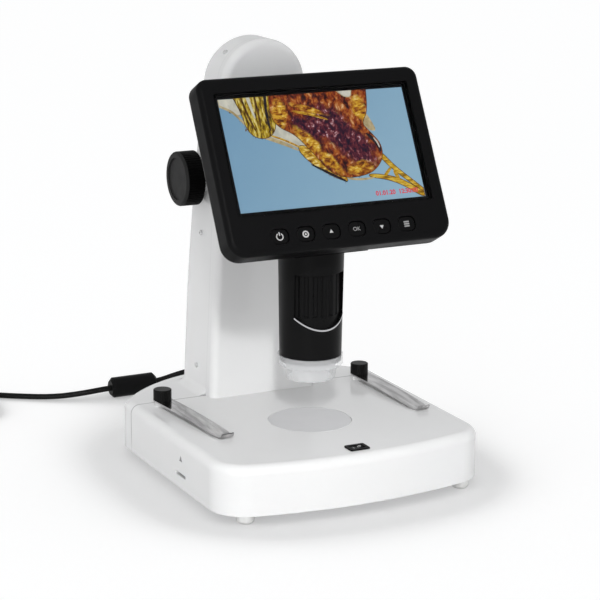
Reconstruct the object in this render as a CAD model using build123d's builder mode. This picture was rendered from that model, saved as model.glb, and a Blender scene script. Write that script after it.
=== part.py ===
from build123d import *
from math import acos, atan2, cos, hypot, pi, radians, sin, sqrt, tan
import os

os.makedirs("parts", exist_ok=True)

# All sizes in millimetres. +X is to the user's right, +Y to the back, +Z up.
# The origin is on the table, under the middle of the base.

# base
base_width = 160.3
base_depth = 188.4
base_underside = 5.0
stage_height = 32.4
base_wall = 2.6
front_bow_radius = 278.7
rear_bow_radius = 99.0
front_corner_radius = 20.7
rear_corner_radius = 14.0
base_edge_radius = 5.0
plate_thickness = 2.0
shell_gap = 0.3
edge_margin = 1.0
level_tolerance = 0.01
half_width = base_width / 2
half_depth = base_depth / 2

# places of the column, the seam and the optical axis from the back of the base
column_inset = 61.3
seam_setback = 8.3
throat = 58.7
column_front_y = half_depth - column_inset
seam_y = column_front_y + seam_setback
axis_y = column_front_y - throat

# feet and base screws
foot_radius = 5.0
front_foot_side = 14.65
front_foot_x = half_width - front_foot_side
front_foot_inset = 13.7
front_foot_y = -half_depth + front_foot_inset
rear_foot_side = 22.15
rear_foot_x = half_width - rear_foot_side
rear_foot_setback = 4.8
rear_foot_y = seam_y + rear_foot_setback
foot_spots = [
    (-front_foot_x, front_foot_y),
    (front_foot_x, front_foot_y),
    (-rear_foot_x, rear_foot_y),
    (rear_foot_x, rear_foot_y),
]
boss_radius = 4.0
front_screw_side = 22.15
front_screw_x = half_width - front_screw_side
front_screw_inset = 30.2
front_screw_y = -half_depth + front_screw_inset
middle_screw_side = 10.15
middle_screw_x = half_width - middle_screw_side
middle_screw_setback = 25.8
middle_screw_y = axis_y + middle_screw_setback
rear_screw_side = 40.15
rear_screw_x = half_width - rear_screw_side
rear_screw_setback = 24.8
rear_screw_y = seam_y + rear_screw_setback
base_screw_spots = [
    (-front_screw_x, front_screw_y),
    (front_screw_x, front_screw_y),
    (-middle_screw_x, middle_screw_y),
    (middle_screw_x, middle_screw_y),
    (-rear_screw_x, rear_screw_y),
    (rear_screw_x, rear_screw_y),
]
thread_radius = 1.5
screw_head_radius = 2.7
screw_head_height = 1.8
screw_socket_radius = 1.3
screw_socket_depth = 1.1
base_screw_length = 10.0

# stage lamp
disc_radius = 23.3
disc_thickness = 1.6
disc_ledge = 2.0
disc_fit = 0.15
lamp_cup_radius = 22.6
lamp_cup_wall = 1.6
lamp_cup_ledge = 2.0
lamp_board_height = 12.0
board_thickness = 1.6
led_radius = 2.5
led_height = 2.0
led_ring_spots = 6

# main board, card socket and power jack
board_height = 10.0
board_lamp_gap = 1.5
board_boss_gap = 1.5
chip_size = 12.0
chip_height = 1.2
board_side_gap = 3.65
board_left = -half_width + board_side_gap
board_right = 38.0
board_front_reach = 20.2
board_front = axis_y - board_front_reach
board_back_reach = 2.8
board_back = seam_y + board_back_reach
chip_steps = [(24.5, 32.0), (26.5, 72.0), (88.5, 20.0)]
chip_spots = [(board_left + right, board_back - down) for right, down in chip_steps]
board_leg_radius = 2.5
board_leg_inset = 6.0
board_leg_run = 40.0
board_leg_drop = 32.0
board_leg_spots = [
    (board_left + board_leg_inset, board_front + board_leg_inset),
    (board_left + board_leg_inset + board_leg_run, board_front + board_leg_inset),
    (board_left + board_leg_inset, board_back - board_leg_inset),
    (board_left + board_leg_inset + board_leg_run, board_back - board_leg_inset),
    (board_right - board_leg_inset, board_back - board_leg_inset),
    (board_right - board_leg_inset, board_back - board_leg_inset - board_leg_drop),
]
card_slot_offset = 3.1
card_slot_y = axis_y - card_slot_offset
card_slot_width = 13.6
card_slot_height = 2.0
card_socket_depth = 15.0
card_socket_wall = 0.4
jack_x = 14.0
jack_z = 16.0
jack_width = 11.0
jack_depth = 13.0
jack_bore_radius = 3.2
jack_pin_radius = 1.0
jack_opening_radius = 5.2
jack_nose = 2.0
jack_bore_depth = 9.0

# stage lamp switch
switch_inset = 12.3
switch_y = -half_depth + switch_inset
switch_length = 9.8
switch_width = 7.0
switch_flange = 0.9
switch_flange_height = 0.8
switch_depth = 11.0
switch_wall = 1.0
rocker_gap = 0.25
rocker_tilt = 6.0
rocker_pin_radius = 0.8
rocker_drop = 4.2
rocker_stand = 0.9
rocker_dip = 0.6
rocker_relief = 0.8

# stage clips
clip_side = 16.65
clip_setback = 6.6
clip_x = half_width - clip_side
clip_y = seam_y - clip_setback
clip_width = 10.6
clip_tip_width = 7.0
clip_taper_length = 9.0
clip_thickness = 0.8
clip_reach = 73.6
clip_flat = 5.2
clip_lip_length = 3.8
clip_lip_rise = 2.6
clip_angle_left = 5.7
clip_angle_right = 1.8
clip_lift = 3.0
clip_tip_lift = 0.5
clip_seat = stage_height + clip_lift
clip_touch = stage_height + clip_tip_lift
clip_pad_radius = 4.4
clip_pad_gap = 0.1
clip_boss_radius = 6.0
clip_boss_depth = 9.0
clip_knob_radius = 5.2
clip_knob_height = 6.2
clip_stem_radius = 2.2
clip_stem_depth = 7.6
clip_knob_edge = 0.6
clip_knob_grooves = 24
clip_groove_radius = 0.3
pin_clearance = 0.05
clip_pad_top = clip_seat - clip_thickness / 2 - clip_pad_gap

# column, measured up from the focus shaft
shaft_z = 158.0
column_foot_half = 33.7
dome_radius = 25.9
dome_rise = 54.1
dome_height = shaft_z + dome_rise
column_foot_depth = 43.3
column_rear_foot = column_front_y + column_foot_depth
column_middle_lean = 2.8
column_rear_middle = column_rear_foot - column_middle_lean
column_top_lean = 18.0
column_rear_top = column_rear_foot - column_top_lean
column_middle_drop = 79.1
column_middle_height = dome_height - column_middle_drop
column_wall = 2.5
column_front_edge = 4.3
column_rear_edge = 5.0
column_root_radius = 5.0

# focus drive
travel_down = 21.0
travel_up = 28.0
frame_setback = 3.4
frame_front_y = column_front_y + frame_setback
shaft_setback = 19.9
shaft_y = frame_front_y + shaft_setback
shaft_radius = 3.0
gear_module = 0.8
pinion_teeth = 18
pressure_angle = 20.0
pinion_width = 12.0
rack_width = 9.6
rack_length = 60.0
rack_drop = 33.0
rack_base = shaft_z - rack_drop
gear_backlash = 0.16
root_factor = 1.25
flank_steps = 5
rack_seat = 1.0
rack_window_gap = 0.6
frame_bridge = 3.0
knob_radius = 15.6
knob_thickness = 11.4
knob_face_x = 44.6
knob_edge_radius = 1.6
knob_dish_radius = 12.0
knob_dish_depth = 0.8
knob_cap_thickness = 3.0
shaft_chamfer = 0.4
knob_groove_count = 60
knob_groove_radius = 0.35
knob_gap = 0.6
shaft_collar_radius = 9.0
shaft_hole_radius = 4.0
bush_wall = 1.5
bush_flange = 1.2
bush_flange_radius = 6.2

# slide frame and carriage
frame_side_gap = 5.9
frame_half = dome_radius - frame_side_gap
frame_depth = 11.0
frame_margin = 4.0
groove_half_front = 10.2
groove_half_back = 14.2
groove_depth = 8.0
slide_gap = 0.3
frame_lug_thickness = 4.0
frame_lug_x = 12.5
frame_lug_radius = 8.5
frame_screw_edge = 3.0
frame_screw_x = frame_half - frame_screw_edge
frame_screw_inset = 9.0
frame_screw_length = 14.0
frame_screw_sink = 2.0
post_radius = 3.8
neck_half = 6.5
neck_drop = 18.0
neck_bottom = shaft_z - neck_drop
neck_height = 16.0
neck_slot_gap = 1.0
flange_corner = 3.0
flange_half = 15.0
flange_inset = 1.5
flange_thickness = 3.0
column_gap = 3.4

# side screws of the column
tab_thickness = 2.5
tab_width = 11.0
tab_gap = 0.15
side_screw_offset = 1.2
side_screw_y = shaft_y - side_screw_offset
low_screw_rise = 14.8
high_screw_drop = 86.3
side_screw_heights = [stage_height + low_screw_rise, dome_height - high_screw_drop]
dome_screw_setback = 12.5
dome_screw_y = column_front_y + dome_screw_setback
tab_overrun = 5.0
tab_reach = side_screw_y + tab_overrun
dome_tab_overrun = 5.6
dome_tab_reach = dome_screw_y + dome_tab_overrun
dome_screw_angle = 46.0
side_screw_head_radius = 1.5
side_screw_radius = 1.1
side_screw_recess = 0.7
side_screw_length = 7.0

# head
head_half = 22.5
head_length = 90.0
neck_rise = 8.0
head_bottom = neck_bottom - neck_rise
head_height = 28.0
head_top = head_bottom + head_height
head_wall = 2.5
head_cover_thickness = 2.4
head_corner_radius = 6.0
head_clearance = 2.0
arm_screw_x = 11.0
arm_screw_inset = 4.5
cover_screw_x = 18.0
cover_screw_back_reach = 45.8
cover_screw_back = axis_y + cover_screw_back_reach
cover_screw_front_reach = 2.2
cover_screw_front = axis_y - cover_screw_front_reach
cover_screw_length = 9.0
head_boss_radius = 3.2

# microscope tube
tube_length = 69.1
tube_sink = 4.8
tube_top = head_bottom + tube_sink
tube_collar_length = 6.8
tube_shoulder = tube_top - tube_collar_length
tube_bottom = tube_top - tube_length
tube_fit = 0.15
tube_top_radius = 18.2
tube_taper = 1.0
tube_bottom_radius = tube_top_radius - tube_taper
tube_flange_width = 1.4
tube_flange_radius = tube_top_radius + tube_flange_width
tube_flange_height = 2.3
ring_rise = 20.9
ring_bottom = tube_bottom + ring_rise
ring_drop = 11.2
ring_top = tube_shoulder - ring_drop
tube_ring_wall = 2.4
ring_radius = tube_top_radius - tube_ring_wall
ring_wall = 2.6
ring_bore = ring_radius - ring_wall
ring_gap = 0.3
rib_rise = 6.4
rib_bottom = ring_bottom + rib_rise
rib_count = 20
rib_depth = 0.9
rib_groove_radius = 1.6
tube_upper_bore = ring_radius + ring_gap
tube_lower_wall = 1.7
tube_lower_bore = tube_bottom_radius - tube_lower_wall
tube_web = 2.0
tube_web_width = 5.4
tube_web_bore = tube_lower_bore - tube_web_width
window_inset = 0.8
window_half = ring_radius - window_inset
window_head_gap = 0.2
window_top = ring_top + window_head_gap
window_sill_drop = 0.2
window_sag = 6.6
trim_width = 0.9
trim_depth = 0.9
trim_stand = 0.15
tube_edge_radius = 1.0
cell_travel = 4.0
cell_stop_gap = 1.1
cell_base = ring_bottom + cell_travel + cell_stop_gap
cell_height = ring_top - cell_travel - cell_stop_gap - cell_base
cell_wall = 1.2
lens_seat = 1.0
lens_inset = 4.2
lens_radius = ring_bore - lens_inset
lens_thickness = 3.4
guide_rod_radius = 0.8
guide_rod_inset = 2.0
guide_rod_offset = ring_bore - guide_rod_inset
sleeve_bore = ring_bore + ring_gap
sleeve_web_lap = 1.0
sleeve_web_bore = lens_radius - sleeve_web_lap
tip_length = 10.0
tip_bottom = tube_bottom - tip_length
tip_top_inset = 2.0
tip_taper = 1.5
tip_top_radius = tube_bottom_radius - tip_top_inset
tip_bottom_radius = tip_top_radius - tip_taper
tip_cap_gap = 0.1
tip_cap_wall = 0.9
tip_cap_height = 3.4
tip_cap_edge = 0.8
tip_wall = 1.5
tip_flange_height = 2.6
tip_collar_height = 1.7
lamp_ring_leds = 8
lamp_ring_led_radius = 1.2
lamp_ring_led_height = 1.0
lamp_ring_width = 5.9
lamp_ring_bore = tube_lower_bore - lamp_ring_width
lamp_ring_led_inset = 3.5
lamp_ring_circle = tube_lower_bore - lamp_ring_led_inset
camera_board_size = 29.0
sensor_size = 11.0
sensor_height = 1.8

# monitor
screen_tilt = 27.88
screen_reach = 14.28
screen_y = axis_y - screen_reach
screen_rise = 28.42
screen_z = head_top + screen_rise
monitor_width = 132.6
monitor_height = 98.4
side_border = 10.85
top_border = 11.7
bottom_border = 23.9
active_width = monitor_width - 2 * side_border
active_height = monitor_height - top_border - bottom_border
monitor_drop = (bottom_border - top_border) / 2
monitor_top = active_height / 2 + top_border
monitor_bottom = -active_height / 2 - bottom_border
monitor_top_corner = 6.5
monitor_bottom_corner = 10.0
bezel_face = 1.0
bezel_depth = 8.5
monitor_thickness = 17.0
monitor_wall = 2.4
bezel_edge = 3.2
back_edge = 4.5
screen_margin = 2.7
window_thickness = 1.0
window_recess = 0.2
window_fit = 0.1
window_ledge = 1.2
window_corner = 1.5
panel_side_border = 4.9
panel_top_border = 4.1
panel_bottom_border = 8.9
panel_width = active_width + 2 * panel_side_border
panel_height = active_height + panel_top_border + panel_bottom_border
panel_drop = (panel_bottom_border - panel_top_border) / 2
panel_thickness = 3.2
display_board_inset = 8.35
display_board_width = panel_width - 2 * display_board_inset
display_board_height = panel_height - 2 * display_board_inset
display_board_gap = 3.0
display_leg_inset = 6.0
display_leg_radius = 2.5
monitor_boss_radius = 2.5
monitor_boss_side = 14.3
monitor_boss_x = monitor_width / 2 - monitor_boss_side
monitor_boss_top_inset = 5.0
monitor_boss_top = monitor_top - monitor_boss_top_inset
monitor_boss_bottom_inset = 6.3
monitor_boss_bottom = monitor_bottom + monitor_boss_bottom_inset
monitor_screw_pocket = 0.15
monitor_screw_sink = 2.0
monitor_screw_length = 9.0

# keys under the screen
key_count = 6
key_row_inset = 28.3
key_pitch = (monitor_width - 2 * key_row_inset) / (key_count - 1)
key_row_x = 1.0
key_row_gap = 14.9
key_row_drop = active_height / 2 + key_row_gap
key_well_width = 10.6
key_well_height = 8.6
key_well_corner = 3.4
key_fit = 0.35
key_sink = 0.5
key_travel = 0.6
key_flange = 1.2
key_flange_thickness = 1.0
key_stem_radius = 1.8
key_stem_length = 1.0
key_board_height = 9.6
key_board_margin = 4.0
key_post_radius = 1.2
key_edge_radius = 0.4
key_rest_gap = 0.1
switch_body = 4.6
switch_body_height = 1.4

# hinge between head and monitor
hinge_offset = 9.5
knuckle_radius = 6.2
knuckle_half = 9.4
hinge_side_gap = 0.3
hinge_ear_thickness = 4.5
hinge_pin_radius = 2.0
hinge_plate_half = 20.0
hinge_plate_height = 26.0
hinge_plate_thickness = 1.8
hinge_screw_x = 15.5
hinge_screw_inset = 4.5
hinge_screw_length = 6.0
hinge_boss_height = 2.6

# cord
cord_radius = 1.75
bend_share = 0.45
plug_radius = 4.8
plug_barrel_radius = 2.75
plug_barrel_bore = 1.2
plug_barrel_length = 12.0
plug_edge = 1.0
plug_length = 22.0
relief_length = 12.0
relief_start_radius = 3.8
relief_end_radius = 2.3
ferrite_radius = 6.4
ferrite_length = 30.0
ferrite_chamfer = 1.8
coil_inner = 15.0
coil_edge = 1.5
coil_columns = 4
coil_layers = 2
coil_pitch = 3.6
tie_wall = 0.8
tie_width = 9.0
tie_gap = 0.1
tie_angle = -45.0
usb_body_length = 20.0
usb_body_width = 14.0
usb_body_height = 7.4
usb_shell_length = 12.0
usb_shell_width = 12.0
usb_shell_height = 4.5
usb_shell_wall = 0.4
usb_tongue_height = 1.8
usb_edge = 1.2
usb_relief_length = 10.0
usb_relief_radius = 3.2

stage_underside = stage_height - base_wall
plate_top = base_underside + plate_thickness


def keep(piece, label):
    piece.part.label = label
    export_step(piece.part, f"parts/{label}.step")


# Outline of the base seen from above: straight sides, a shallow bowed front and a round back.
def base_outline(inset):
    half = half_width - inset
    front_radius = front_bow_radius - inset
    rear_radius = rear_bow_radius - inset
    front_side = -half_depth + front_bow_radius - sqrt(front_radius**2 - half**2)
    rear_side = half_depth - rear_bow_radius + sqrt(rear_radius**2 - half**2)
    with BuildSketch() as outline:
        with BuildLine():
            ThreePointArc((-half, front_side), (0, -half_depth + inset), (half, front_side))
            Line((half, front_side), (half, rear_side))
            ThreePointArc((half, rear_side), (0, half_depth - inset), (-half, rear_side))
            Line((-half, rear_side), (-half, front_side))
        make_face()
        fillet(outline.vertices().group_by(Axis.Y)[0], front_corner_radius - inset)
        fillet(outline.vertices().group_by(Axis.Y)[-1], rear_corner_radius - inset)
    return outline.sketch


# The whole base before the seam cuts it in two.
def base_body():
    with BuildPart() as body:
        with BuildSketch(Plane.XY.offset(base_underside)):
            add(base_outline(0))
        extrude(amount=stage_height - base_underside)
        fillet(body.edges().group_by(Axis.Z)[-1], base_edge_radius)
    return body.part


def base_cavity():
    with BuildPart() as cavity:
        with BuildSketch(Plane.XY.offset(base_underside)):
            add(base_outline(base_wall))
        extrude(amount=stage_underside - base_underside)
    return cavity.part


# Outline of the column seen from the front: straight tapered sides that run into a round dome.
def column_outline(inset):
    radius = dome_radius - inset
    foot_half = column_foot_half - inset
    drop = dome_height - stage_height
    turn = atan2(drop, foot_half) - acos(radius / hypot(foot_half, drop))
    touch = (radius * cos(turn), dome_height - radius * sin(turn))
    slope = (foot_half - touch[0]) / (touch[1] - stage_height)
    low = stage_height - 2 * base_wall
    low_half = foot_half + slope * (stage_height - low)
    with BuildSketch() as outline:
        with BuildLine():
            Line((-low_half, low), (low_half, low))
            Line((low_half, low), touch)
            ThreePointArc(touch, (0, dome_height + radius), (-touch[0], touch[1]))
            Line((-touch[0], touch[1]), (-low_half, low))
        make_face()
    return outline.sketch


# Side view of the column: upright front, back that leans forward along one long arc.
def column_side(front_y, inset):
    low = stage_height - 2 * base_wall
    high = dome_height + dome_radius
    with BuildSketch() as side:
        with BuildLine():
            ThreePointArc(
                (column_rear_foot - inset, low),
                (column_rear_middle - inset, column_middle_height),
                (column_rear_top - inset, high),
            )
            Line((column_rear_top - inset, high), (front_y, high))
            Line((front_y, high), (front_y, low))
            Line((front_y, low), (column_rear_foot - inset, low))
        make_face()
    return side.sketch


def column_body(front_y, inset):
    with BuildPart() as body:
        with BuildSketch(Plane.XZ.offset(-front_y)):
            add(column_outline(inset))
        extrude(amount=front_y - column_rear_foot)
        with BuildSketch(Plane.YZ):
            add(column_side(front_y, inset))
        extrude(amount=2 * column_foot_half, both=True, mode=Mode.INTERSECT)
    return body.part


# Y of the column's back at a height, on the circle through its foot, middle and top.
def column_rear_at(height):
    y1, z1 = column_rear_foot, stage_height - 2 * base_wall
    y2, z2 = column_rear_middle, column_middle_height
    y3, z3 = column_rear_top, dome_height + dome_radius
    s1, s2, s3 = y1**2 + z1**2, y2**2 + z2**2, y3**2 + z3**2
    twice_area = 2 * (y1 * (z2 - z3) + y2 * (z3 - z1) + y3 * (z1 - z2))
    centre_y = (s1 * (z2 - z3) + s2 * (z3 - z1) + s3 * (z1 - z2)) / twice_area
    centre_z = (s1 * (y3 - y2) + s2 * (y1 - y3) + s3 * (y2 - y1)) / twice_area
    radius = hypot(y1 - centre_y, z1 - centre_z)
    return centre_y + sqrt(radius**2 - (height - centre_z) ** 2)


def column_half_at(height):
    return column_foot_half - (column_foot_half - dome_radius) * (height - stage_height) / (
        dome_height - stage_height
    )


# Screws with a socket head. The plane's normal points from the head to the tip.
def screws(plane, spots, length, shank=thread_radius, head=screw_head_radius):
    with BuildPart() as body:
        with BuildSketch(plane):
            with Locations(*spots):
                Circle(head)
        extrude(amount=-screw_head_height)
        with BuildSketch(plane):
            with Locations(*spots):
                Circle(shank)
        extrude(amount=length)
        with BuildSketch(plane.offset(-screw_head_height)):
            with Locations(*spots):
                RegularPolygon(screw_socket_radius * head / screw_head_radius, 6)
        extrude(amount=screw_socket_depth, mode=Mode.SUBTRACT)
    return body.part


def small_screws(plane, spots, length):
    return screws(plane, spots, length, side_screw_radius, side_screw_head_radius)


# Plane through the dome's centre, facing out along the line of a dome screw.
def dome_screw_plane(side):
    angle = radians(dome_screw_angle)
    return Plane(
        origin=(0, dome_screw_y, dome_height), x_dir=(0, 1, 0), z_dir=(side * sin(angle), 0, cos(angle))
    )


# ---- base ----

front_seam = Plane.XZ.offset(-seam_y)
stage_plane = Plane.XY.offset(stage_height)
clip_spots = [(-clip_x, clip_y), (clip_x, clip_y)]
front_boss_spots = [spot for spot in base_screw_spots if spot[1] < seam_y]
rear_boss_spots = [spot for spot in base_screw_spots if spot[1] > seam_y]

with BuildPart() as base_shell:
    add(base_body())
    add(base_cavity(), mode=Mode.SUBTRACT)
    split(bisect_by=front_seam, keep=Keep.TOP)
    with BuildSketch(Plane.XY.offset(plate_top)):
        with Locations(*front_boss_spots):
            Circle(boss_radius)
    extrude(amount=stage_underside - plate_top)
    with BuildSketch(Plane.XY.offset(stage_underside)):
        with Locations(*clip_spots):
            Circle(clip_boss_radius)
    extrude(amount=-clip_boss_depth + base_wall)
    with BuildSketch(stage_plane):
        with Locations(*clip_spots):
            Circle(clip_pad_radius)
    extrude(amount=clip_pad_top - stage_height)
    with BuildSketch(Plane.XY.offset(clip_pad_top)):
        with Locations(*clip_spots):
            Circle(clip_stem_radius + pin_clearance)
    extrude(amount=-clip_lift - 2 * clip_boss_depth, mode=Mode.SUBTRACT)
    with BuildSketch(Plane.XY.offset(plate_top)):
        with Locations(*front_boss_spots):
            Circle(thread_radius)
    extrude(amount=base_screw_length - plate_thickness, mode=Mode.SUBTRACT)
    with BuildSketch(stage_plane):
        with Locations((0, axis_y)):
            Circle(disc_radius + disc_fit)
    extrude(amount=-disc_thickness, mode=Mode.SUBTRACT)
    with BuildSketch(stage_plane):
        with Locations((0, axis_y)):
            Circle(disc_radius - disc_ledge)
    extrude(amount=-2 * base_wall, mode=Mode.SUBTRACT)
    with BuildSketch(stage_plane):
        with Locations((0, switch_y)):
            Rectangle(switch_length, switch_width)
    extrude(amount=-2 * base_wall, mode=Mode.SUBTRACT)
    with BuildSketch(Plane.YZ.offset(-half_width)):
        with Locations((card_slot_y, board_height + board_thickness + card_slot_height / 2)):
            SlotOverall(card_slot_width, card_slot_height)
    extrude(amount=2 * base_wall, mode=Mode.SUBTRACT)
keep(base_shell, "base_shell")

frame_back_y = frame_front_y + frame_depth
frame_bottom = rack_base - travel_down - frame_margin
frame_top = rack_base + rack_length + travel_up + frame_margin
frame_screw_spots = [
    (x, z)
    for x in (-frame_screw_x, frame_screw_x)
    for z in (frame_bottom + frame_screw_inset, frame_top - frame_screw_inset)
]
knob_inner_x = knob_face_x - knob_thickness
collar_x = knob_inner_x - knob_gap


# Edges round the back of the column, above its foot.
def back_edges(body, front_y):
    return body.edges().filter_by(
        lambda edge: edge.center().Z > stage_height + edge_margin
        and edge.center().Y > front_y
        and abs(edge.center().X) < column_foot_half
    )


# Edges where the column grows out of the top of the base.
def root_edges(body):
    return (
        body.edges()
        .filter_by(lambda edge: abs(edge.bounding_box().max.Z - stage_height) < level_tolerance)
        .filter_by(lambda edge: abs(edge.bounding_box().min.Z - stage_height) < level_tolerance)
        .filter_by(lambda edge: abs(edge.center().X) < column_foot_half + edge_margin)
        .filter_by(lambda edge: seam_y + edge_margin < edge.center().Y < column_rear_foot + edge_margin)
    )


with BuildPart() as rear_hollow:
    add(base_cavity())
    add(column_body(seam_y - edge_margin, column_wall))
    fillet(
        back_edges(rear_hollow, column_rear_top - column_wall - edge_margin),
        column_rear_edge - column_wall,
    )

with BuildPart() as rear_shell:
    add(base_body())
    add(column_body(column_front_y, 0))
    split(bisect_by=front_seam, keep=Keep.BOTTOM)
    fillet(back_edges(rear_shell, column_rear_top - edge_margin), column_rear_edge)
    fillet(root_edges(rear_shell), column_root_radius)
    for side in (-1, 1):
        collar_start = column_half_at(shaft_z) - column_wall
        with BuildSketch(Plane.YZ.offset(side * collar_start)):
            with Locations((shaft_y, shaft_z)):
                Circle(shaft_collar_radius)
        extrude(amount=side * (collar_x - collar_start))
    add(rear_hollow.part, mode=Mode.SUBTRACT)
    for x, z in frame_screw_spots:
        with BuildSketch(Plane.XZ.offset(-frame_back_y)):
            with Locations((x, z)):
                Circle(post_radius)
        extrude(amount=frame_back_y - column_rear_at(z) + column_wall / 2)
    with BuildSketch(Plane.XZ.offset(-frame_back_y)):
        with Locations(*frame_screw_spots):
            Circle(thread_radius)
    extrude(amount=-frame_screw_length, mode=Mode.SUBTRACT)
    with BuildSketch(Plane.YZ):
        with Locations((shaft_y, shaft_z)):
            Circle(shaft_hole_radius)
    extrude(amount=knob_face_x, both=True, mode=Mode.SUBTRACT)
    with BuildSketch(Plane.XY.offset(plate_top)):
        with Locations(*rear_boss_spots):
            Circle(boss_radius)
    extrude(amount=stage_underside - plate_top)
    with BuildSketch(Plane.XY.offset(plate_top)):
        with Locations(*rear_boss_spots):
            Circle(thread_radius)
    extrude(amount=base_screw_length - plate_thickness, mode=Mode.SUBTRACT)
    with BuildSketch(Plane.XZ.offset(-half_depth)):
        with Locations((jack_x, jack_z)):
            Circle(jack_opening_radius)
    extrude(amount=3 * base_wall, mode=Mode.SUBTRACT)
    for side in (-1, 1):
        for height in side_screw_heights:
            with BuildSketch(Plane.YZ.offset(side * (column_half_at(height) - side_screw_recess))):
                with Locations((side_screw_y, height)):
                    Circle(side_screw_head_radius)
            extrude(amount=side * column_wall, mode=Mode.SUBTRACT)
            with BuildSketch(Plane.YZ.offset(side * (column_half_at(height) - 2 * column_wall))):
                with Locations((side_screw_y, height)):
                    Circle(side_screw_radius)
            extrude(amount=side * 2 * column_wall, mode=Mode.SUBTRACT)
        with BuildSketch(dome_screw_plane(side).offset(dome_radius - side_screw_recess)):
            Circle(side_screw_head_radius)
        extrude(amount=column_wall, mode=Mode.SUBTRACT)
        with BuildSketch(dome_screw_plane(side).offset(dome_radius - 2 * column_wall)):
            Circle(side_screw_radius)
        extrude(amount=2 * column_wall, mode=Mode.SUBTRACT)
keep(rear_shell, "rear_shell")

with BuildPart() as bottom_plate:
    with BuildSketch(Plane.XY.offset(base_underside)):
        add(base_outline(base_wall + shell_gap))
        with Locations(*base_screw_spots):
            Circle(thread_radius, mode=Mode.SUBTRACT)
    extrude(amount=plate_thickness)
    with BuildSketch(Plane.XY.offset(plate_top)):
        with Locations(*board_leg_spots):
            Circle(board_leg_radius)
    extrude(amount=board_height - plate_top)
keep(bottom_plate, "bottom_plate")

with BuildPart() as feet:
    with BuildSketch():
        with Locations(*foot_spots):
            Circle(foot_radius)
    extrude(amount=base_underside)
    fillet(feet.edges().group_by(Axis.Z)[0], foot_radius / 2)
keep(feet, "feet")

with BuildPart() as base_screws:
    add(screws(Plane.XY.offset(base_underside), base_screw_spots, base_screw_length))
keep(base_screws, "base_screws")

# ---- stage lamp ----

with BuildPart() as stage_disc:
    with BuildSketch(Plane.XY.offset(stage_height - disc_thickness)):
        with Locations((0, axis_y)):
            Circle(disc_radius)
    extrude(amount=disc_thickness)
    chamfer(stage_disc.edges().group_by(Axis.Z)[-1], disc_fit)
keep(stage_disc, "stage_disc")

with BuildPart() as lamp_cup:
    with BuildSketch(Plane.XY.offset(plate_top)):
        with Locations((0, axis_y)):
            Circle(lamp_cup_radius)
            Circle(lamp_cup_radius - lamp_cup_wall - lamp_cup_ledge, mode=Mode.SUBTRACT)
    extrude(amount=stage_underside - plate_top)
    with BuildSketch(Plane.XY.offset(lamp_board_height)):
        with Locations((0, axis_y)):
            Circle(lamp_cup_radius - lamp_cup_wall)
    extrude(amount=stage_height, mode=Mode.SUBTRACT)
keep(lamp_cup, "lamp_cup")

with BuildPart() as lamp_board:
    with BuildSketch(Plane.XY.offset(lamp_board_height)):
        with Locations((0, axis_y)):
            Circle(lamp_cup_radius - lamp_cup_wall - disc_fit)
    extrude(amount=board_thickness)
    with BuildSketch(Plane.XY.offset(lamp_board_height + board_thickness)):
        with Locations((0, axis_y)):
            with PolarLocations(lamp_cup_radius / 2, led_ring_spots):
                Circle(led_radius)
    extrude(amount=led_height)
keep(lamp_board, "lamp_board")

# ---- main board, card socket and power jack ----

board_top = board_height + board_thickness
board_width = board_right - board_left
board_depth = board_back - board_front
with BuildPart() as main_board:
    with BuildSketch(Plane.XY.offset(board_height)):
        with Locations(((board_left + board_right) / 2, (board_front + board_back) / 2)):
            Rectangle(board_width, board_depth)
        with Locations((0, axis_y)):
            Circle(lamp_cup_radius + board_lamp_gap, mode=Mode.SUBTRACT)
        with Locations((board_right, axis_y)):
            Rectangle(2 * board_right, 2 * (lamp_cup_radius + board_lamp_gap), mode=Mode.SUBTRACT)
        with Locations(*front_boss_spots):
            Circle(boss_radius + board_boss_gap, mode=Mode.SUBTRACT)
    extrude(amount=board_thickness)
    with BuildSketch(Plane.XY.offset(board_top)):
        with Locations(*chip_spots):
            Rectangle(chip_size, chip_size)
    extrude(amount=chip_height)
keep(main_board, "main_board")

with BuildPart() as card_socket:
    with BuildSketch(Plane.XY.offset(board_top)):
        with Locations((board_left + card_socket_depth / 2, card_slot_y)):
            Rectangle(card_socket_depth, card_slot_width)
    extrude(amount=card_slot_height)
    with BuildSketch(Plane.YZ.offset(board_left)):
        with Locations((card_slot_y, board_top + card_slot_height / 2)):
            Rectangle(card_slot_width - card_socket_wall * 2, card_slot_height - card_socket_wall * 2)
    extrude(amount=card_socket_depth - card_socket_wall, mode=Mode.SUBTRACT)
keep(card_socket, "card_socket")

wall_bow_radius = rear_bow_radius - base_wall
jack_sag = wall_bow_radius - sqrt(wall_bow_radius**2 - (jack_x + jack_width / 2) ** 2)
jack_face_y = half_depth - base_wall - jack_sag
with BuildPart() as power_jack:
    with BuildSketch(Plane.XZ.offset(-jack_face_y)):
        with Locations((jack_x, jack_z)):
            Rectangle(jack_width, jack_width)
    extrude(amount=jack_depth)
    with BuildSketch(Plane.XZ.offset(-jack_face_y)):
        with Locations((jack_x, jack_z)):
            Circle(jack_opening_radius - pin_clearance)
    extrude(amount=-jack_nose)
    with BuildSketch(Plane.XZ.offset(-jack_face_y - jack_nose)):
        with Locations((jack_x, jack_z)):
            Circle(jack_bore_radius)
            Circle(jack_pin_radius, mode=Mode.SUBTRACT)
    extrude(amount=jack_bore_depth + jack_nose, mode=Mode.SUBTRACT)
keep(power_jack, "power_jack")

# ---- lamp switch ----

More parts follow.
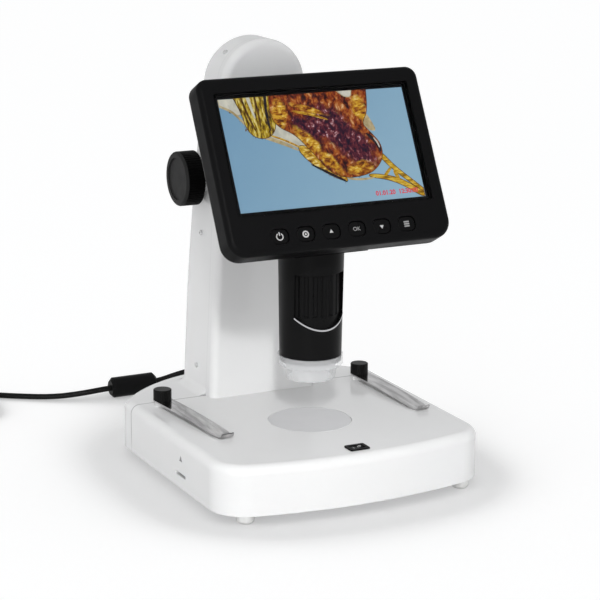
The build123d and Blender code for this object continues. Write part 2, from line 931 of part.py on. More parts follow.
rocker_axis_z = stage_height - rocker_drop
with BuildPart() as switch_housing:
    with BuildSketch(stage_plane):
        with Locations((0, switch_y)):
            RectangleRounded(
                switch_length + 2 * switch_flange, switch_width + 2 * switch_flange, switch_flange
            )
    extrude(amount=switch_flange_height)
    with BuildSketch(stage_plane):
        with Locations((0, switch_y)):
            Rectangle(switch_length, switch_width)
    extrude(amount=-switch_depth)
    with BuildSketch(Plane.XY.offset(stage_height + switch_flange_height)):
        with Locations((0, switch_y)):
            Rectangle(switch_length - 2 * switch_wall, switch_width - 2 * switch_wall)
    extrude(amount=-switch_depth, mode=Mode.SUBTRACT)
    with BuildSketch(Plane.XZ.offset(-switch_y)):
        with Locations((0, rocker_axis_z)):
            Circle(rocker_pin_radius + pin_clearance)
    extrude(amount=switch_width, both=True, mode=Mode.SUBTRACT)
keep(switch_housing, "switch_housing")

rocker_swing = (rocker_drop + rocker_stand) * sin(radians(rocker_tilt))
rocker_half_length = switch_length / 2 - switch_wall - rocker_gap - rocker_swing
rocker_half_width = switch_width / 2 - switch_wall - rocker_gap
rocker_plane = Plane(
    origin=(0, switch_y, rocker_axis_z),
    x_dir=(cos(radians(rocker_tilt)), 0, sin(radians(rocker_tilt))),
    z_dir=(0, -1, 0),
)
with BuildPart() as switch_rocker:
    with BuildSketch(rocker_plane):
        with BuildLine():
            Polyline(
                (-rocker_half_length, rocker_drop + rocker_stand),
                (0, rocker_drop + rocker_stand - rocker_dip),
                (rocker_half_length, rocker_drop + rocker_stand),
                (rocker_half_length - rocker_relief, 0),
                (0, -rocker_drop / 2),
                (-rocker_half_length + rocker_relief, 0),
                close=True,
            )
        make_face()
    extrude(amount=rocker_half_width, both=True)
    with BuildSketch(rocker_plane):
        Circle(rocker_pin_radius)
    extrude(amount=switch_width / 2, both=True)
keep(switch_rocker, "switch_rocker")

# ---- stage clips ----

for side, name, angle in ((-1, "left", clip_angle_left), (1, "right", clip_angle_right)):
    turn = radians(angle)
    clip_side_plane = Plane(
        origin=(side * clip_x, clip_y, 0),
        x_dir=(sin(turn), -cos(turn), 0),
        z_dir=(-cos(turn), -sin(turn), 0),
    )
    clip_top_plane = Plane(origin=clip_side_plane.origin, x_dir=clip_side_plane.x_dir, z_dir=(0, 0, 1))
    with BuildPart() as clip_leaf:
        with BuildSketch(clip_side_plane):
            with BuildLine():
                flat = Line((-clip_width / 2, clip_seat), (clip_flat, clip_seat))
                bow = TangentArc(flat @ 1, (clip_reach - clip_lip_length, clip_touch), tangent=flat % 1)
                TangentArc(bow @ 1, (clip_reach, clip_touch + clip_lip_rise), tangent=bow % 1)
            trace(line_width=clip_thickness)
        extrude(amount=clip_width / 2, both=True)
        with BuildSketch(clip_top_plane):
            with BuildLine():
                near = (0, -clip_width / 2)
                far = (0, clip_width / 2)
                ThreePointArc(near, (-clip_width / 2, 0), far)
                Polyline(
                    far,
                    (clip_reach - clip_taper_length, clip_width / 2),
                    (clip_reach + clip_thickness, clip_tip_width / 2),
                    (clip_reach + clip_thickness, -clip_tip_width / 2),
                    (clip_reach - clip_taper_length, -clip_width / 2),
                    near,
                )
            make_face()
        extrude(amount=clip_seat + clip_lip_rise, mode=Mode.INTERSECT)
        with BuildSketch(Plane.XY.offset(clip_seat - clip_thickness)):
            with Locations((side * clip_x, clip_y)):
                Circle(clip_stem_radius + pin_clearance)
        extrude(amount=2 * clip_thickness, mode=Mode.SUBTRACT)
    keep(clip_leaf, f"clip_leaf_{name}")
    with BuildPart() as clip_knob:
        with BuildSketch(Plane.XY.offset(clip_seat + clip_thickness / 2)):
            with Locations((side * clip_x, clip_y)):
                Circle(clip_knob_radius)
        extrude(amount=clip_knob_height)
        fillet(clip_knob.edges().group_by(Axis.Z)[-1], clip_knob_edge)
        with BuildSketch(Plane.XY.offset(clip_seat + clip_thickness / 2)):
            with Locations((side * clip_x, clip_y)):
                with PolarLocations(clip_knob_radius, clip_knob_grooves):
                    Circle(clip_groove_radius)
        extrude(amount=clip_knob_height, mode=Mode.SUBTRACT)
        with BuildSketch(Plane.XY.offset(clip_seat + clip_thickness / 2)):
            with Locations((side * clip_x, clip_y)):
                Circle(clip_stem_radius)
        extrude(amount=-clip_lift - clip_thickness / 2 - clip_stem_depth)
    keep(clip_knob, f"clip_knob_{name}")

# ---- column front, slide frame and their screws ----

tab_inset = column_wall + tab_gap
with BuildPart() as tab_blocks:
    for height in side_screw_heights:
        with BuildSketch(Plane.XY.offset(height - tab_width / 2)):
            with Locations((0, (column_front_y + tab_reach) / 2)):
                Rectangle(2 * column_foot_half, tab_reach - column_front_y)
        extrude(amount=tab_width)
    for side in (-1, 1):
        with BuildSketch(dome_screw_plane(side)):
            with Locations(((column_front_y + dome_tab_reach) / 2 - dome_screw_y, 0)):
                Rectangle(dome_tab_reach - column_front_y, tab_width)
        extrude(amount=dome_radius)

with BuildPart() as tabs:
    add(column_body(column_front_y + column_wall / 2, tab_inset))
    add(column_body(column_front_y - column_wall, tab_inset + tab_thickness), mode=Mode.SUBTRACT)
    add(tab_blocks.part, mode=Mode.INTERSECT)

with BuildPart() as column_front:
    add(column_body(column_front_y, 0))
    split(bisect_by=front_seam, keep=Keep.TOP)
    split(bisect_by=stage_plane, keep=Keep.TOP)
    fillet(
        column_front.edges()
        .group_by(Axis.Y)[0]
        .filter_by(lambda edge: edge.center().Z > stage_height + edge_margin),
        column_front_edge,
    )
    add(column_body(column_front_y + column_wall, column_wall), mode=Mode.SUBTRACT)
    add(tabs.part)
    with BuildSketch(Plane.XZ.offset(-column_front_y)):
        with Locations((0, neck_bottom + (neck_height + travel_up - travel_down) / 2)):
            Rectangle(
                2 * (neck_half + neck_slot_gap),
                neck_height + travel_up + travel_down + 2 * neck_slot_gap,
            )
    extrude(amount=-2 * column_wall, mode=Mode.SUBTRACT)
    for side in (-1, 1):
        for height in side_screw_heights:
            with BuildSketch(Plane.YZ.offset(side * column_foot_half)):
                with Locations((side_screw_y, height)):
                    Circle(side_screw_radius)
            extrude(amount=-side * column_foot_half / 2, mode=Mode.SUBTRACT)
        with BuildSketch(dome_screw_plane(side)):
            Circle(side_screw_radius)
        extrude(amount=dome_radius, mode=Mode.SUBTRACT)
keep(column_front, "column_front")


# Half width of the dovetail groove at a depth behind the frame's front.
def groove_half_at(depth):
    return groove_half_front + (groove_half_back - groove_half_front) * depth / groove_depth


with BuildPart() as slide_frame:
    with BuildSketch(Plane.XY.offset(frame_bottom)):
        with Locations((0, frame_front_y + frame_depth / 2)):
            Rectangle(2 * frame_half, frame_depth)
        with BuildLine():
            Polyline(
                (-groove_half_front, frame_front_y),
                (groove_half_front, frame_front_y),
                (groove_half_back, frame_front_y + groove_depth),
                (-groove_half_back, frame_front_y + groove_depth),
                close=True,
            )
        make_face(mode=Mode.SUBTRACT)
    extrude(amount=frame_top - frame_bottom)
    with BuildSketch(Plane.XZ.offset(-frame_back_y)):
        with Locations((0, (frame_bottom + frame_top) / 2)):
            Rectangle(rack_width + 2 * rack_window_gap, frame_top - frame_bottom - 2 * frame_bridge)
    extrude(amount=frame_depth, mode=Mode.SUBTRACT)
    for side in (-1, 1):
        with BuildSketch(Plane.YZ.offset(side * frame_lug_x)):
            with Locations((shaft_y, shaft_z)):
                Circle(frame_lug_radius)
            with Locations(((frame_back_y + shaft_y) / 2, shaft_z)):
                Rectangle(shaft_y - frame_back_y, 2 * frame_lug_radius)
            with Locations((shaft_y, shaft_z)):
                Circle(shaft_radius + bush_wall, mode=Mode.SUBTRACT)
        extrude(amount=side * frame_lug_thickness)
    with BuildSketch(Plane.XZ.offset(-frame_front_y)):
        with Locations(*frame_screw_spots):
            Circle(screw_head_radius + disc_fit)
    extrude(amount=-frame_screw_sink, mode=Mode.SUBTRACT)
    with BuildSketch(Plane.XZ.offset(-frame_front_y)):
        with Locations(*frame_screw_spots):
            Circle(thread_radius)
    extrude(amount=-frame_depth, mode=Mode.SUBTRACT)
keep(slide_frame, "slide_frame")

frame_screw_plane = Plane(
    origin=(0, frame_front_y + frame_screw_sink, 0), x_dir=(-1, 0, 0), z_dir=(0, 1, 0)
)
with BuildPart() as column_screws:
    add(screws(frame_screw_plane, frame_screw_spots, frame_screw_length))
    for side in (-1, 1):
        for height in side_screw_heights:
            head_plane = Plane(
                origin=(side * (column_half_at(height) - side_screw_recess), side_screw_y, height),
                x_dir=(0, 1, 0),
                z_dir=(-side, 0, 0),
            )
            add(small_screws(head_plane, [(0, 0)], side_screw_length))
        dome_seat = dome_screw_plane(side).offset(dome_radius - side_screw_recess)
        dome_head = Plane(dome_seat.origin, x_dir=(0, 1, 0), z_dir=-dome_seat.z_dir)
        add(small_screws(dome_head, [(0, 0)], side_screw_length))
keep(column_screws, "column_screws")

# ---- focus shaft, pinion, knobs and bushes ----

with BuildPart() as shaft_bushes:
    for side in (-1, 1):
        with BuildSketch(Plane.YZ.offset(side * frame_lug_x)):
            with Locations((shaft_y, shaft_z)):
                Circle(shaft_radius + bush_wall)
        extrude(amount=side * frame_lug_thickness)
        with BuildSketch(Plane.YZ.offset(side * (frame_lug_x + frame_lug_thickness))):
            with Locations((shaft_y, shaft_z)):
                Circle(bush_flange_radius)
        extrude(amount=side * bush_flange)
    with BuildSketch(Plane.YZ):
        with Locations((shaft_y, shaft_z)):
            Circle(shaft_radius + pin_clearance)
    extrude(amount=knob_face_x, both=True, mode=Mode.SUBTRACT)
keep(shaft_bushes, "shaft_bushes")

with BuildPart() as pinion_shaft:
    with BuildSketch(Plane.YZ):
        with Locations((shaft_y, shaft_z)):
            Circle(shaft_radius)
    extrude(amount=knob_face_x - knob_cap_thickness, both=True)
    chamfer(pinion_shaft.edges(), shaft_chamfer)
keep(pinion_shaft, "pinion_shaft")

pitch_radius = gear_module * pinion_teeth / 2
tip_radius = pitch_radius + gear_module
root_radius = pitch_radius - root_factor * gear_module
base_radius = pitch_radius * cos(radians(pressure_angle))
rack_pitch_y = shaft_y - pitch_radius


# Half of a tooth's angle at a radius, from the involute of the base circle.
def tooth_half_angle(radius):
    at_pitch = pi / (2 * pinion_teeth) - gear_backlash / (4 * pitch_radius)
    roll = acos(min(1, base_radius / radius))
    pressure = radians(pressure_angle)
    return at_pitch + (tan(pressure) - pressure) - (tan(roll) - roll)


# Outline of the pinion about its own centre, with one tooth along -X of its plane.
def pinion_outline():
    steps = [base_radius + (tip_radius - base_radius) * i / flank_steps for i in range(flank_steps + 1)]
    flank = [(root_radius, tooth_half_angle(base_radius))]
    flank += [(radius, tooth_half_angle(radius)) for radius in steps]
    points = []
    for tooth in range(pinion_teeth):
        middle = pi + 2 * pi * tooth / pinion_teeth
        points += [(r * cos(middle - half), r * sin(middle - half)) for r, half in flank]
        points += [(r * cos(middle + half), r * sin(middle + half)) for r, half in reversed(flank)]
    return points


with BuildPart() as pinion:
    with BuildSketch(Plane(origin=(0, shaft_y, shaft_z), x_dir=(0, 1, 0), z_dir=(1, 0, 0))):
        with BuildLine():
            Polyline(*pinion_outline(), close=True)
        make_face()
        Circle(shaft_radius, mode=Mode.SUBTRACT)
    extrude(amount=pinion_width / 2, both=True)
keep(pinion, "pinion")

for side, name in ((-1, "left"), (1, "right")):
    with BuildPart() as knob:
        with BuildSketch(Plane.YZ.offset(side * knob_inner_x)):
            with Locations((shaft_y, shaft_z)):
                Circle(knob_radius)
        extrude(amount=side * knob_thickness)
        fillet(knob.edges().sort_by(Axis.X)[-1 if side > 0 else 0], knob_edge_radius)
        with BuildSketch(Plane.YZ.offset(side * knob_inner_x)):
            with Locations((shaft_y, shaft_z)):
                with PolarLocations(knob_radius, knob_groove_count):
                    Circle(knob_groove_radius)
        extrude(amount=side * (knob_thickness - knob_edge_radius), mode=Mode.SUBTRACT)
        with BuildSketch(Plane.YZ.offset(side * knob_face_x)):
            with Locations((shaft_y, shaft_z)):
                Circle(knob_dish_radius)
        extrude(amount=-side * knob_dish_depth, mode=Mode.SUBTRACT)
        with BuildSketch(Plane.YZ.offset(side * knob_inner_x)):
            with Locations((shaft_y, shaft_z)):
                Circle(shaft_radius)
        extrude(amount=side * (knob_thickness - knob_cap_thickness), mode=Mode.SUBTRACT)
    keep(knob, f"knob_{name}")

# ---- carriage and rack ----

carriage_front_y = frame_front_y + slide_gap
carriage_back_y = frame_front_y + groove_depth - slide_gap
side_gap = slide_gap * hypot(groove_depth, groove_half_back - groove_half_front) / groove_depth
flange_back_y = column_front_y - column_gap
flange_front_y = flange_back_y - flange_thickness
flange_bottom = head_bottom + flange_inset
flange_height = head_top - head_bottom - 2 * flange_inset
arm_screw_spots = [
    (x, z)
    for x in (-arm_screw_x, arm_screw_x)
    for z in (flange_bottom + arm_screw_inset, flange_bottom + flange_height - arm_screw_inset)
]

with BuildPart() as carriage:
    with BuildSketch(Plane.XY.offset(rack_base)):
        with BuildLine():
            front_half = groove_half_at(slide_gap) - side_gap
            back_half = groove_half_at(groove_depth - slide_gap) - side_gap
            Polyline(
                (-front_half, carriage_front_y),
                (front_half, carriage_front_y),
                (back_half, carriage_back_y),
                (-back_half, carriage_back_y),
                close=True,
            )
        make_face()
    extrude(amount=rack_length)
    with BuildSketch(Plane.XZ.offset(-carriage_front_y)):
        with Locations((0, neck_bottom + neck_height / 2)):
            Rectangle(2 * neck_half, neck_height)
    extrude(amount=carriage_front_y - flange_back_y)
    with BuildSketch(Plane.XZ.offset(-flange_back_y)):
        with Locations((0, flange_bottom + flange_height / 2)):
            RectangleRounded(2 * flange_half, flange_height, flange_corner)
    extrude(amount=flange_thickness)
    with BuildSketch(Plane.XZ.offset(-flange_back_y)):
        with Locations(*arm_screw_spots):
            Circle(thread_radius)
    extrude(amount=flange_thickness, mode=Mode.SUBTRACT)
    with BuildSketch(Plane.XZ.offset(-carriage_back_y)):
        with Locations((0, rack_base + rack_length / 2)):
            Rectangle(rack_width, rack_length)
    extrude(amount=rack_seat, mode=Mode.SUBTRACT)
keep(carriage, "carriage")

rack_pitch = pi * gear_module
rack_root_y = rack_pitch_y - root_factor * gear_module
rack_tip_y = rack_pitch_y + gear_module
flank_slope = tan(radians(pressure_angle))
rack_half_pitch_width = rack_pitch / 4 - gear_backlash / 4
rack_tip_half = rack_half_pitch_width - gear_module * flank_slope
rack_root_half = rack_half_pitch_width + root_factor * gear_module * flank_slope
teeth_below = int((shaft_z - rack_base) / rack_pitch - 1)
teeth_above = int((rack_base + rack_length - shaft_z) / rack_pitch - 1)
with BuildPart() as rack:
    with BuildSketch(Plane.YZ):
        with BuildLine():
            points = [(carriage_back_y - rack_seat, rack_base), (rack_root_y, rack_base)]
            for tooth in range(-teeth_below, teeth_above):
                middle = shaft_z + (tooth + 0.5) * rack_pitch
                points += [
                    (rack_root_y, middle - rack_root_half),
                    (rack_tip_y, middle - rack_tip_half),
                    (rack_tip_y, middle + rack_tip_half),
                    (rack_root_y, middle + rack_root_half),
                ]
            points.append((rack_root_y, rack_base + rack_length))
            points.append((carriage_back_y - rack_seat, rack_base + rack_length))
            Polyline(*points, close=True)
        make_face()
    extrude(amount=rack_width / 2, both=True)
keep(rack, "rack")

# ---- head ----

out_screen = (0, -cos(radians(screen_tilt)), sin(radians(screen_tilt)))
screen_plane = Plane(origin=(0, screen_y, screen_z), x_dir=(1, 0, 0), z_dir=out_screen)
monitor_rear = bezel_face - monitor_thickness
hinge_spot = screen_plane.from_local_coords((0, -monitor_drop, monitor_rear - hinge_offset))
hinge_y = hinge_spot.Y
hinge_z = hinge_spot.Z
cover_screw_spots = [
    (x, y) for x in (-cover_screw_x, cover_screw_x) for y in (cover_screw_front, cover_screw_back)
]


# Block of the head between two heights: square at the back, cut parallel to the monitor in front.
def head_block(bottom, top, inset):
    with BuildPart() as block:
        with BuildSketch(Plane.XY.offset(bottom)):
            with Locations((0, flange_front_y - inset - head_length / 2)):
                Rectangle(2 * (head_half - inset), head_length)
        extrude(amount=top - bottom)
        rear_edges = block.edges().filter_by(Axis.Z).group_by(Axis.Y)[-1]
        fillet(rear_edges, head_corner_radius - inset)
        split(
            bisect_by=screen_plane.offset(monitor_rear - head_clearance - inset), keep=Keep.BOTTOM
        )
    return block.part


with BuildPart() as head_housing:
    add(head_block(head_bottom, head_top, 0))
    add(head_block(head_bottom + head_wall, head_top, head_wall), mode=Mode.SUBTRACT)
    with BuildSketch(Plane.XY.offset(head_top - cover_screw_length)):
        with Locations(*cover_screw_spots):
            Circle(head_boss_radius)
    extrude(amount=cover_screw_length)
    add(head_block(head_bottom, head_top, 0), mode=Mode.INTERSECT)
    with BuildSketch(Plane.XY.offset(head_bottom)):
        with Locations((0, axis_y)):
            Circle(tube_top_radius + tube_fit)
    extrude(amount=head_wall, mode=Mode.SUBTRACT)
    with BuildSketch(Plane.XY.offset(head_bottom)):
        with Locations(*cover_screw_spots):
            Circle(thread_radius)
    extrude(amount=head_top - head_bottom, mode=Mode.SUBTRACT)
    with BuildSketch(Plane.XZ.offset(-flange_front_y)):
        with Locations(*arm_screw_spots):
            Circle(thread_radius)
    extrude(amount=head_wall, mode=Mode.SUBTRACT)
keep(head_housing, "head_housing")

cover_top = head_top + head_cover_thickness
with BuildPart() as head_cover:
    add(head_block(head_top, cover_top, 0))
    for side in (-1, 1):
        with BuildSketch(Plane.YZ.offset(side * (knuckle_half + hinge_side_gap))):
            with Locations((hinge_y, hinge_z)):
                Circle(knuckle_radius)
            with Locations((hinge_y, (hinge_z + cover_top) / 2)):
                Rectangle(2 * knuckle_radius, hinge_z - cover_top)
            with Locations((hinge_y, hinge_z)):
                Circle(hinge_pin_radius, mode=Mode.SUBTRACT)
        extrude(amount=side * hinge_ear_thickness)
    with BuildSketch(Plane.XY.offset(cover_top)):
        with Locations(*cover_screw_spots):
            Circle(screw_head_radius + disc_fit)
    extrude(amount=-screw_head_height, mode=Mode.SUBTRACT)
    with BuildSketch(Plane.XY.offset(head_top)):
        with Locations(*cover_screw_spots):
            Circle(thread_radius)
    extrude(amount=head_cover_thickness, mode=Mode.SUBTRACT)
keep(head_cover, "head_cover")

with BuildPart() as hinge_pin:
    with BuildSketch(Plane.YZ):
        with Locations((hinge_y, hinge_z)):
            Circle(hinge_pin_radius)
    extrude(amount=knuckle_half + hinge_side_gap + hinge_ear_thickness, both=True)
keep(hinge_pin, "hinge_pin")

arm_screw_plane = Plane(
    origin=(0, flange_front_y - head_wall, 0), x_dir=(-1, 0, 0), z_dir=(0, 1, 0)
)
cover_screw_plane = Plane(
    origin=(0, 0, cover_top - screw_head_height), x_dir=(1, 0, 0), z_dir=(0, 0, -1)
)
with BuildPart() as head_screws:
    add(screws(arm_screw_plane, arm_screw_spots, head_wall + flange_thickness))
    add(screws(cover_screw_plane, [(x, -y) for x, y in cover_screw_spots], cover_screw_length))
keep(head_screws, "head_screws")

# ---- microscope tube ----


def tube_radius_at(height):
    slope = (tube_top_radius - tube_bottom_radius) / (tube_shoulder - tube_bottom)
    return min(tube_top_radius, tube_bottom_radius + slope * (height - tube_bottom))


def ring_disc(height, outer, inner, thickness):
    with BuildPart() as disc:
        with BuildSketch(Plane.XY.offset(height)):
            with Locations((0, axis_y)):
                Circle(outer)
                if inner:
                    Circle(inner, mode=Mode.SUBTRACT)
        extrude(amount=thickness)
    return disc.part


# Outside of the tube, drawn in by an amount.
def tube_solid(inset):
    with BuildPart() as solid:
        with BuildSketch(Plane(origin=(0, axis_y, 0), x_dir=(1, 0, 0), z_dir=(0, -1, 0))):
            with BuildLine():
                Polyline(
                    (0, tube_bottom),
                    (tube_bottom_radius - inset, tube_bottom),
                    (tube_top_radius - inset, tube_shoulder),
                    (tube_top_radius - inset, tube_top),
                    (0, tube_top),
                    close=True,
                )
            make_face()
        revolve(axis=Axis((0, axis_y, 0), (0, 0, 1)))
    return solid.part


# Smile-shaped lower edge of the window, at a distance below it.
def window_edge(drop):
    middle = ring_bottom - window_sill_drop - drop
    side_height = ring_bottom - window_sill_drop + window_sag - drop
    return ThreePointArc((-window_half, side_height), (0, middle), (window_half, side_height))


window_plane = Plane(origin=(0, axis_y, 0), x_dir=(1, 0, 0), z_dir=(0, -1, 0))
with BuildPart() as index_trim:
    with BuildSketch(window_plane):
        with BuildLine():
            upper = window_edge(0)
            lower = window_edge(trim_width)
            Line(upper @ 0, lower @ 0)
            Line(upper @ 1, lower @ 1)
        make_face()
    extrude(amount=2 * tube_top_radius)
    add(tube_solid(-trim_stand), mode=Mode.INTERSECT)
    add(tube_solid(trim_depth), mode=Mode.SUBTRACT)
keep(index_trim, "index_trim")

web_bottom = ring_bottom - ring_gap - tube_web
with BuildPart() as tube_housing:
    add(tube_solid(0))
    add(ring_disc(tube_top - tube_flange_height, tube_flange_radius, 0, tube_flange_height))
    split(
        bisect_by=screen_plane.offset(monitor_rear - head_clearance - head_wall - tube_fit),
        keep=Keep.BOTTOM,
    )
    fillet(tube_housing.edges().group_by(Axis.Z)[0], tube_edge_radius)
    with BuildSketch(Plane.XY.offset(tube_bottom)):
        with Locations((0, axis_y)):
            Circle(tube_lower_bore)
    extrude(amount=web_bottom - tube_bottom, mode=Mode.SUBTRACT)
    with BuildSketch(Plane.XY.offset(web_bottom + tube_web)):
        with Locations((0, axis_y)):
            Circle(tube_upper_bore)
    extrude(amount=tube_top - web_bottom, mode=Mode.SUBTRACT)
    with BuildSketch(Plane.XY.offset(web_bottom)):
        with Locations((0, axis_y)):
            Circle(tube_web_bore)
    extrude(amount=tube_web, mode=Mode.SUBTRACT)
    with BuildSketch(window_plane):
        with BuildLine():
            sill = window_edge(0)
            Polyline(sill @ 1, (window_half, window_top), (-window_half, window_top), sill @ 0)
        make_face()
    extrude(amount=2 * tube_top_radius, mode=Mode.SUBTRACT)
    add(index_trim.part, mode=Mode.SUBTRACT)
keep(tube_housing, "tube_housing")

sleeve_bottom = ring_top + ring_gap
with BuildPart() as optics_mount:
    add(ring_disc(sleeve_bottom, tube_upper_bore, sleeve_bore, tube_top - sleeve_bottom))
    add(ring_disc(sleeve_bottom, sleeve_bore, sleeve_web_bore, tube_web))
    with BuildSketch(Plane.XY.offset(sleeve_bottom)):
        with Locations((0, axis_y + guide_rod_offset)):
            Circle(guide_rod_radius)
    extrude(amount=ring_bottom - sleeve_bottom)
keep(optics_mount, "optics_mount")

with BuildPart() as camera_board:
    with BuildSketch(Plane.XY.offset(tube_top)):
        with Locations((0, axis_y)):
            Rectangle(camera_board_size, camera_board_size)
    extrude(amount=board_thickness)
    with BuildSketch(Plane.XY.offset(tube_top)):
        with Locations((0, axis_y)):
            Rectangle(sensor_size, sensor_size)
    extrude(amount=-sensor_height)
keep(camera_board, "camera_board")

with BuildPart() as focus_ring:
    add(ring_disc(ring_bottom, ring_radius, ring_bore, ring_top - ring_bottom))
    chamfer(focus_ring.edges().group_by(Axis.Z)[-1].sort_by(SortBy.RADIUS)[-1], ring_gap)
    with BuildSketch(Plane.XY.offset(rib_bottom)):
        with Locations((0, axis_y)):
            with PolarLocations(ring_radius + rib_groove_radius - rib_depth, rib_count):
                Circle(rib_groove_radius)
    extrude(amount=ring_top - rib_bottom - rib_depth, mode=Mode.SUBTRACT)
keep(focus_ring, "focus_ring")

with BuildPart() as lens_cell:
    add(ring_disc(cell_base, ring_bore - pin_clearance, lens_radius - cell_wall, cell_height))
    for height in (cell_base + lens_seat, cell_base + cell_height - lens_seat - lens_thickness):
        with BuildSketch(Plane.XY.offset(height)):
            with Locations((0, axis_y)):
                Circle(lens_radius)
        extrude(amount=lens_thickness, mode=Mode.SUBTRACT)
    with BuildSketch(Plane.XY.offset(cell_base)):
        with Locations((0, axis_y + guide_rod_offset)):
            Circle(guide_rod_radius + pin_clearance)
    extrude(amount=cell_height, mode=Mode.SUBTRACT)
keep(lens_cell, "lens_cell")

with BuildPart() as lenses:
    for height in (cell_base + lens_seat, cell_base + cell_height - lens_seat - lens_thickness):
        add(ring_disc(height, lens_radius, 0, lens_thickness))
keep(lenses, "lenses")

collar_top = tube_bottom + tip_collar_height
tip_cap_bore = tube_bottom_radius + tip_cap_gap
tip_cap_radius = tip_cap_bore + tip_cap_wall
with BuildPart() as clear_tip:
    with BuildSketch(window_plane):
        with BuildLine():
            Polyline(
                (0, tip_bottom),
                (tip_bottom_radius, tip_bottom),
                (tip_top_radius, tube_bottom - tip_flange_height),
                (tip_cap_radius - tip_cap_edge, tube_bottom - tip_flange_height),
                (tip_cap_radius, tube_bottom - tip_flange_height + tip_cap_edge),
                (tip_cap_radius, tube_bottom + tip_cap_height),
                (tip_cap_bore, tube_bottom + tip_cap_height),
                (tip_cap_bore, tube_bottom),
                (tube_lower_bore, tube_bottom),
                (tube_lower_bore, collar_top),
                (0, collar_top),
                close=True,
            )
        make_face()
    revolve(axis=Axis((0, axis_y, 0), (0, 0, 1)))
    with BuildSketch(window_plane):
        with BuildLine():
            Polyline(
                (0, tip_bottom),
                (tip_bottom_radius - tip_wall, tip_bottom),
                (tip_top_radius - tip_wall, tube_bottom - tip_flange_height),
                (tube_lower_bore - tip_wall, tube_bottom),
                (tube_lower_bore - tip_wall, collar_top),
                (0, collar_top),
                close=True,
            )
        make_face()
    revolve(axis=Axis((0, axis_y, 0), (0, 0, 1)), mode=Mode.SUBTRACT)
keep(clear_tip, "clear_tip")

with BuildPart() as led_ring:
    add(ring_disc(collar_top, tube_lower_bore - tube_fit, lamp_ring_bore, board_thickness))
    with BuildSketch(Plane.XY.offset(collar_top)):
        with Locations((0, axis_y)):
            with PolarLocations(lamp_ring_circle, lamp_ring_leds):
                Circle(lamp_ring_led_radius)
    extrude(amount=-lamp_ring_led_height)
keep(led_ring, "led_ring")

# ---- monitor ----

bezel_back = bezel_face - bezel_depth
face_underside = bezel_face - monitor_wall
back_inside = monitor_rear + monitor_wall
window_top_level = bezel_face - window_recess
window_width = active_width + 2 * screen_margin
window_height = active_height + 2 * screen_margin
panel_back = face_underside - panel_thickness
display_board_top = panel_back - display_board_gap
display_board_back = display_board_top - board_thickness
key_level = bezel_face - key_sink
key_flange_top = face_underside - key_rest_gap
key_flange_back = key_flange_top - key_flange_thickness
key_stem_end = key_flange_back - key_stem_length
key_switch_top = key_stem_end - key_travel - key_rest_gap
key_board_top = key_switch_top - switch_body_height
key_board_back = key_board_top - board_thickness
key_board_width = (key_count - 1) * key_pitch + key_well_width + 2 * key_board_margin
key_spots = [
    (key_row_x + (place - (key_count - 1) / 2) * key_pitch, -key_row_drop) for place in range(key_count)
]
key_post_spots = [
    (key_row_x + side * (key_board_width / 2 - key_post_radius), -key_row_drop) for side in (-1, 1)
]
monitor_boss_spots = [
    (x, y) for x in (-monitor_boss_x, monitor_boss_x) for y in (monitor_boss_bottom, monitor_boss_top)
]
display_leg_x = display_board_width / 2 - display_leg_inset
display_leg_y = display_board_height / 2 - display_leg_inset
display_leg_spots = [
    (x, y - panel_drop)
    for x in (-display_leg_x, display_leg_x)
    for y in (-display_leg_y, display_leg_y)
]
hinge_screw_row = hinge_plate_height / 2 - hinge_screw_inset
hinge_screw_spots = [
    (x, y - monitor_drop)
    for x in (-hinge_screw_x, hinge_screw_x)
    for y in (-hinge_screw_row, hinge_screw_row)
]


def at_level(level):
    return screen_plane.offset(level)


def monitor_slab(level, thickness, inset):
    with BuildPart() as slab:
        with BuildSketch(at_level(level)) as outline:
            with Locations((0, -monitor_drop)):
                Rectangle(monitor_width - 2 * inset, monitor_height - 2 * inset)
            fillet(outline.vertices().group_by(Axis.Y)[-1], monitor_top_corner - inset)
            fillet(outline.vertices().group_by(Axis.Y)[0], monitor_bottom_corner - inset)
        extrude(amount=thickness)
    return slab.part


# Round pins on the monitor's own plane, from one level up to another.
def pins(spots, radius, level, top):
    with BuildPart() as group:
        with BuildSketch(at_level(level)):
            with Locations(*spots):
                Circle(radius)
        extrude(amount=top - level)
    return group.part


def edges_on_level(body, level):
    return body.edges().filter_by(
        lambda edge: abs(screen_plane.to_local_coords(edge.center()).Z - level) < level_tolerance
    )


with BuildPart() as bezel:
    add(monitor_slab(bezel_back, bezel_depth, 0))
    fillet(edges_on_level(bezel, bezel_face), bezel_edge)
    add(monitor_slab(bezel_back, bezel_depth - monitor_wall, monitor_wall), mode=Mode.SUBTRACT)
    add(pins(monitor_boss_spots, monitor_boss_radius, bezel_back, face_underside))
    add(pins(key_post_spots, key_post_radius, key_board_top, face_underside))
    add(
        pins(monitor_boss_spots, side_screw_radius, bezel_back, face_underside),
        mode=Mode.SUBTRACT,
    )
    with BuildSketch(at_level(bezel_face)):
        RectangleRounded(
            window_width + 2 * window_fit, window_height + 2 * window_fit, window_corner
        )
    extrude(amount=-window_recess - window_thickness, mode=Mode.SUBTRACT)
    with BuildSketch(at_level(bezel_face)):
        RectangleRounded(
            window_width - 2 * window_ledge, window_height - 2 * window_ledge, window_corner
        )
        with Locations(*key_spots):
            RectangleRounded(key_well_width, key_well_height, key_well_corner)
    extrude(amount=-monitor_wall, mode=Mode.SUBTRACT)
keep(bezel, "bezel")

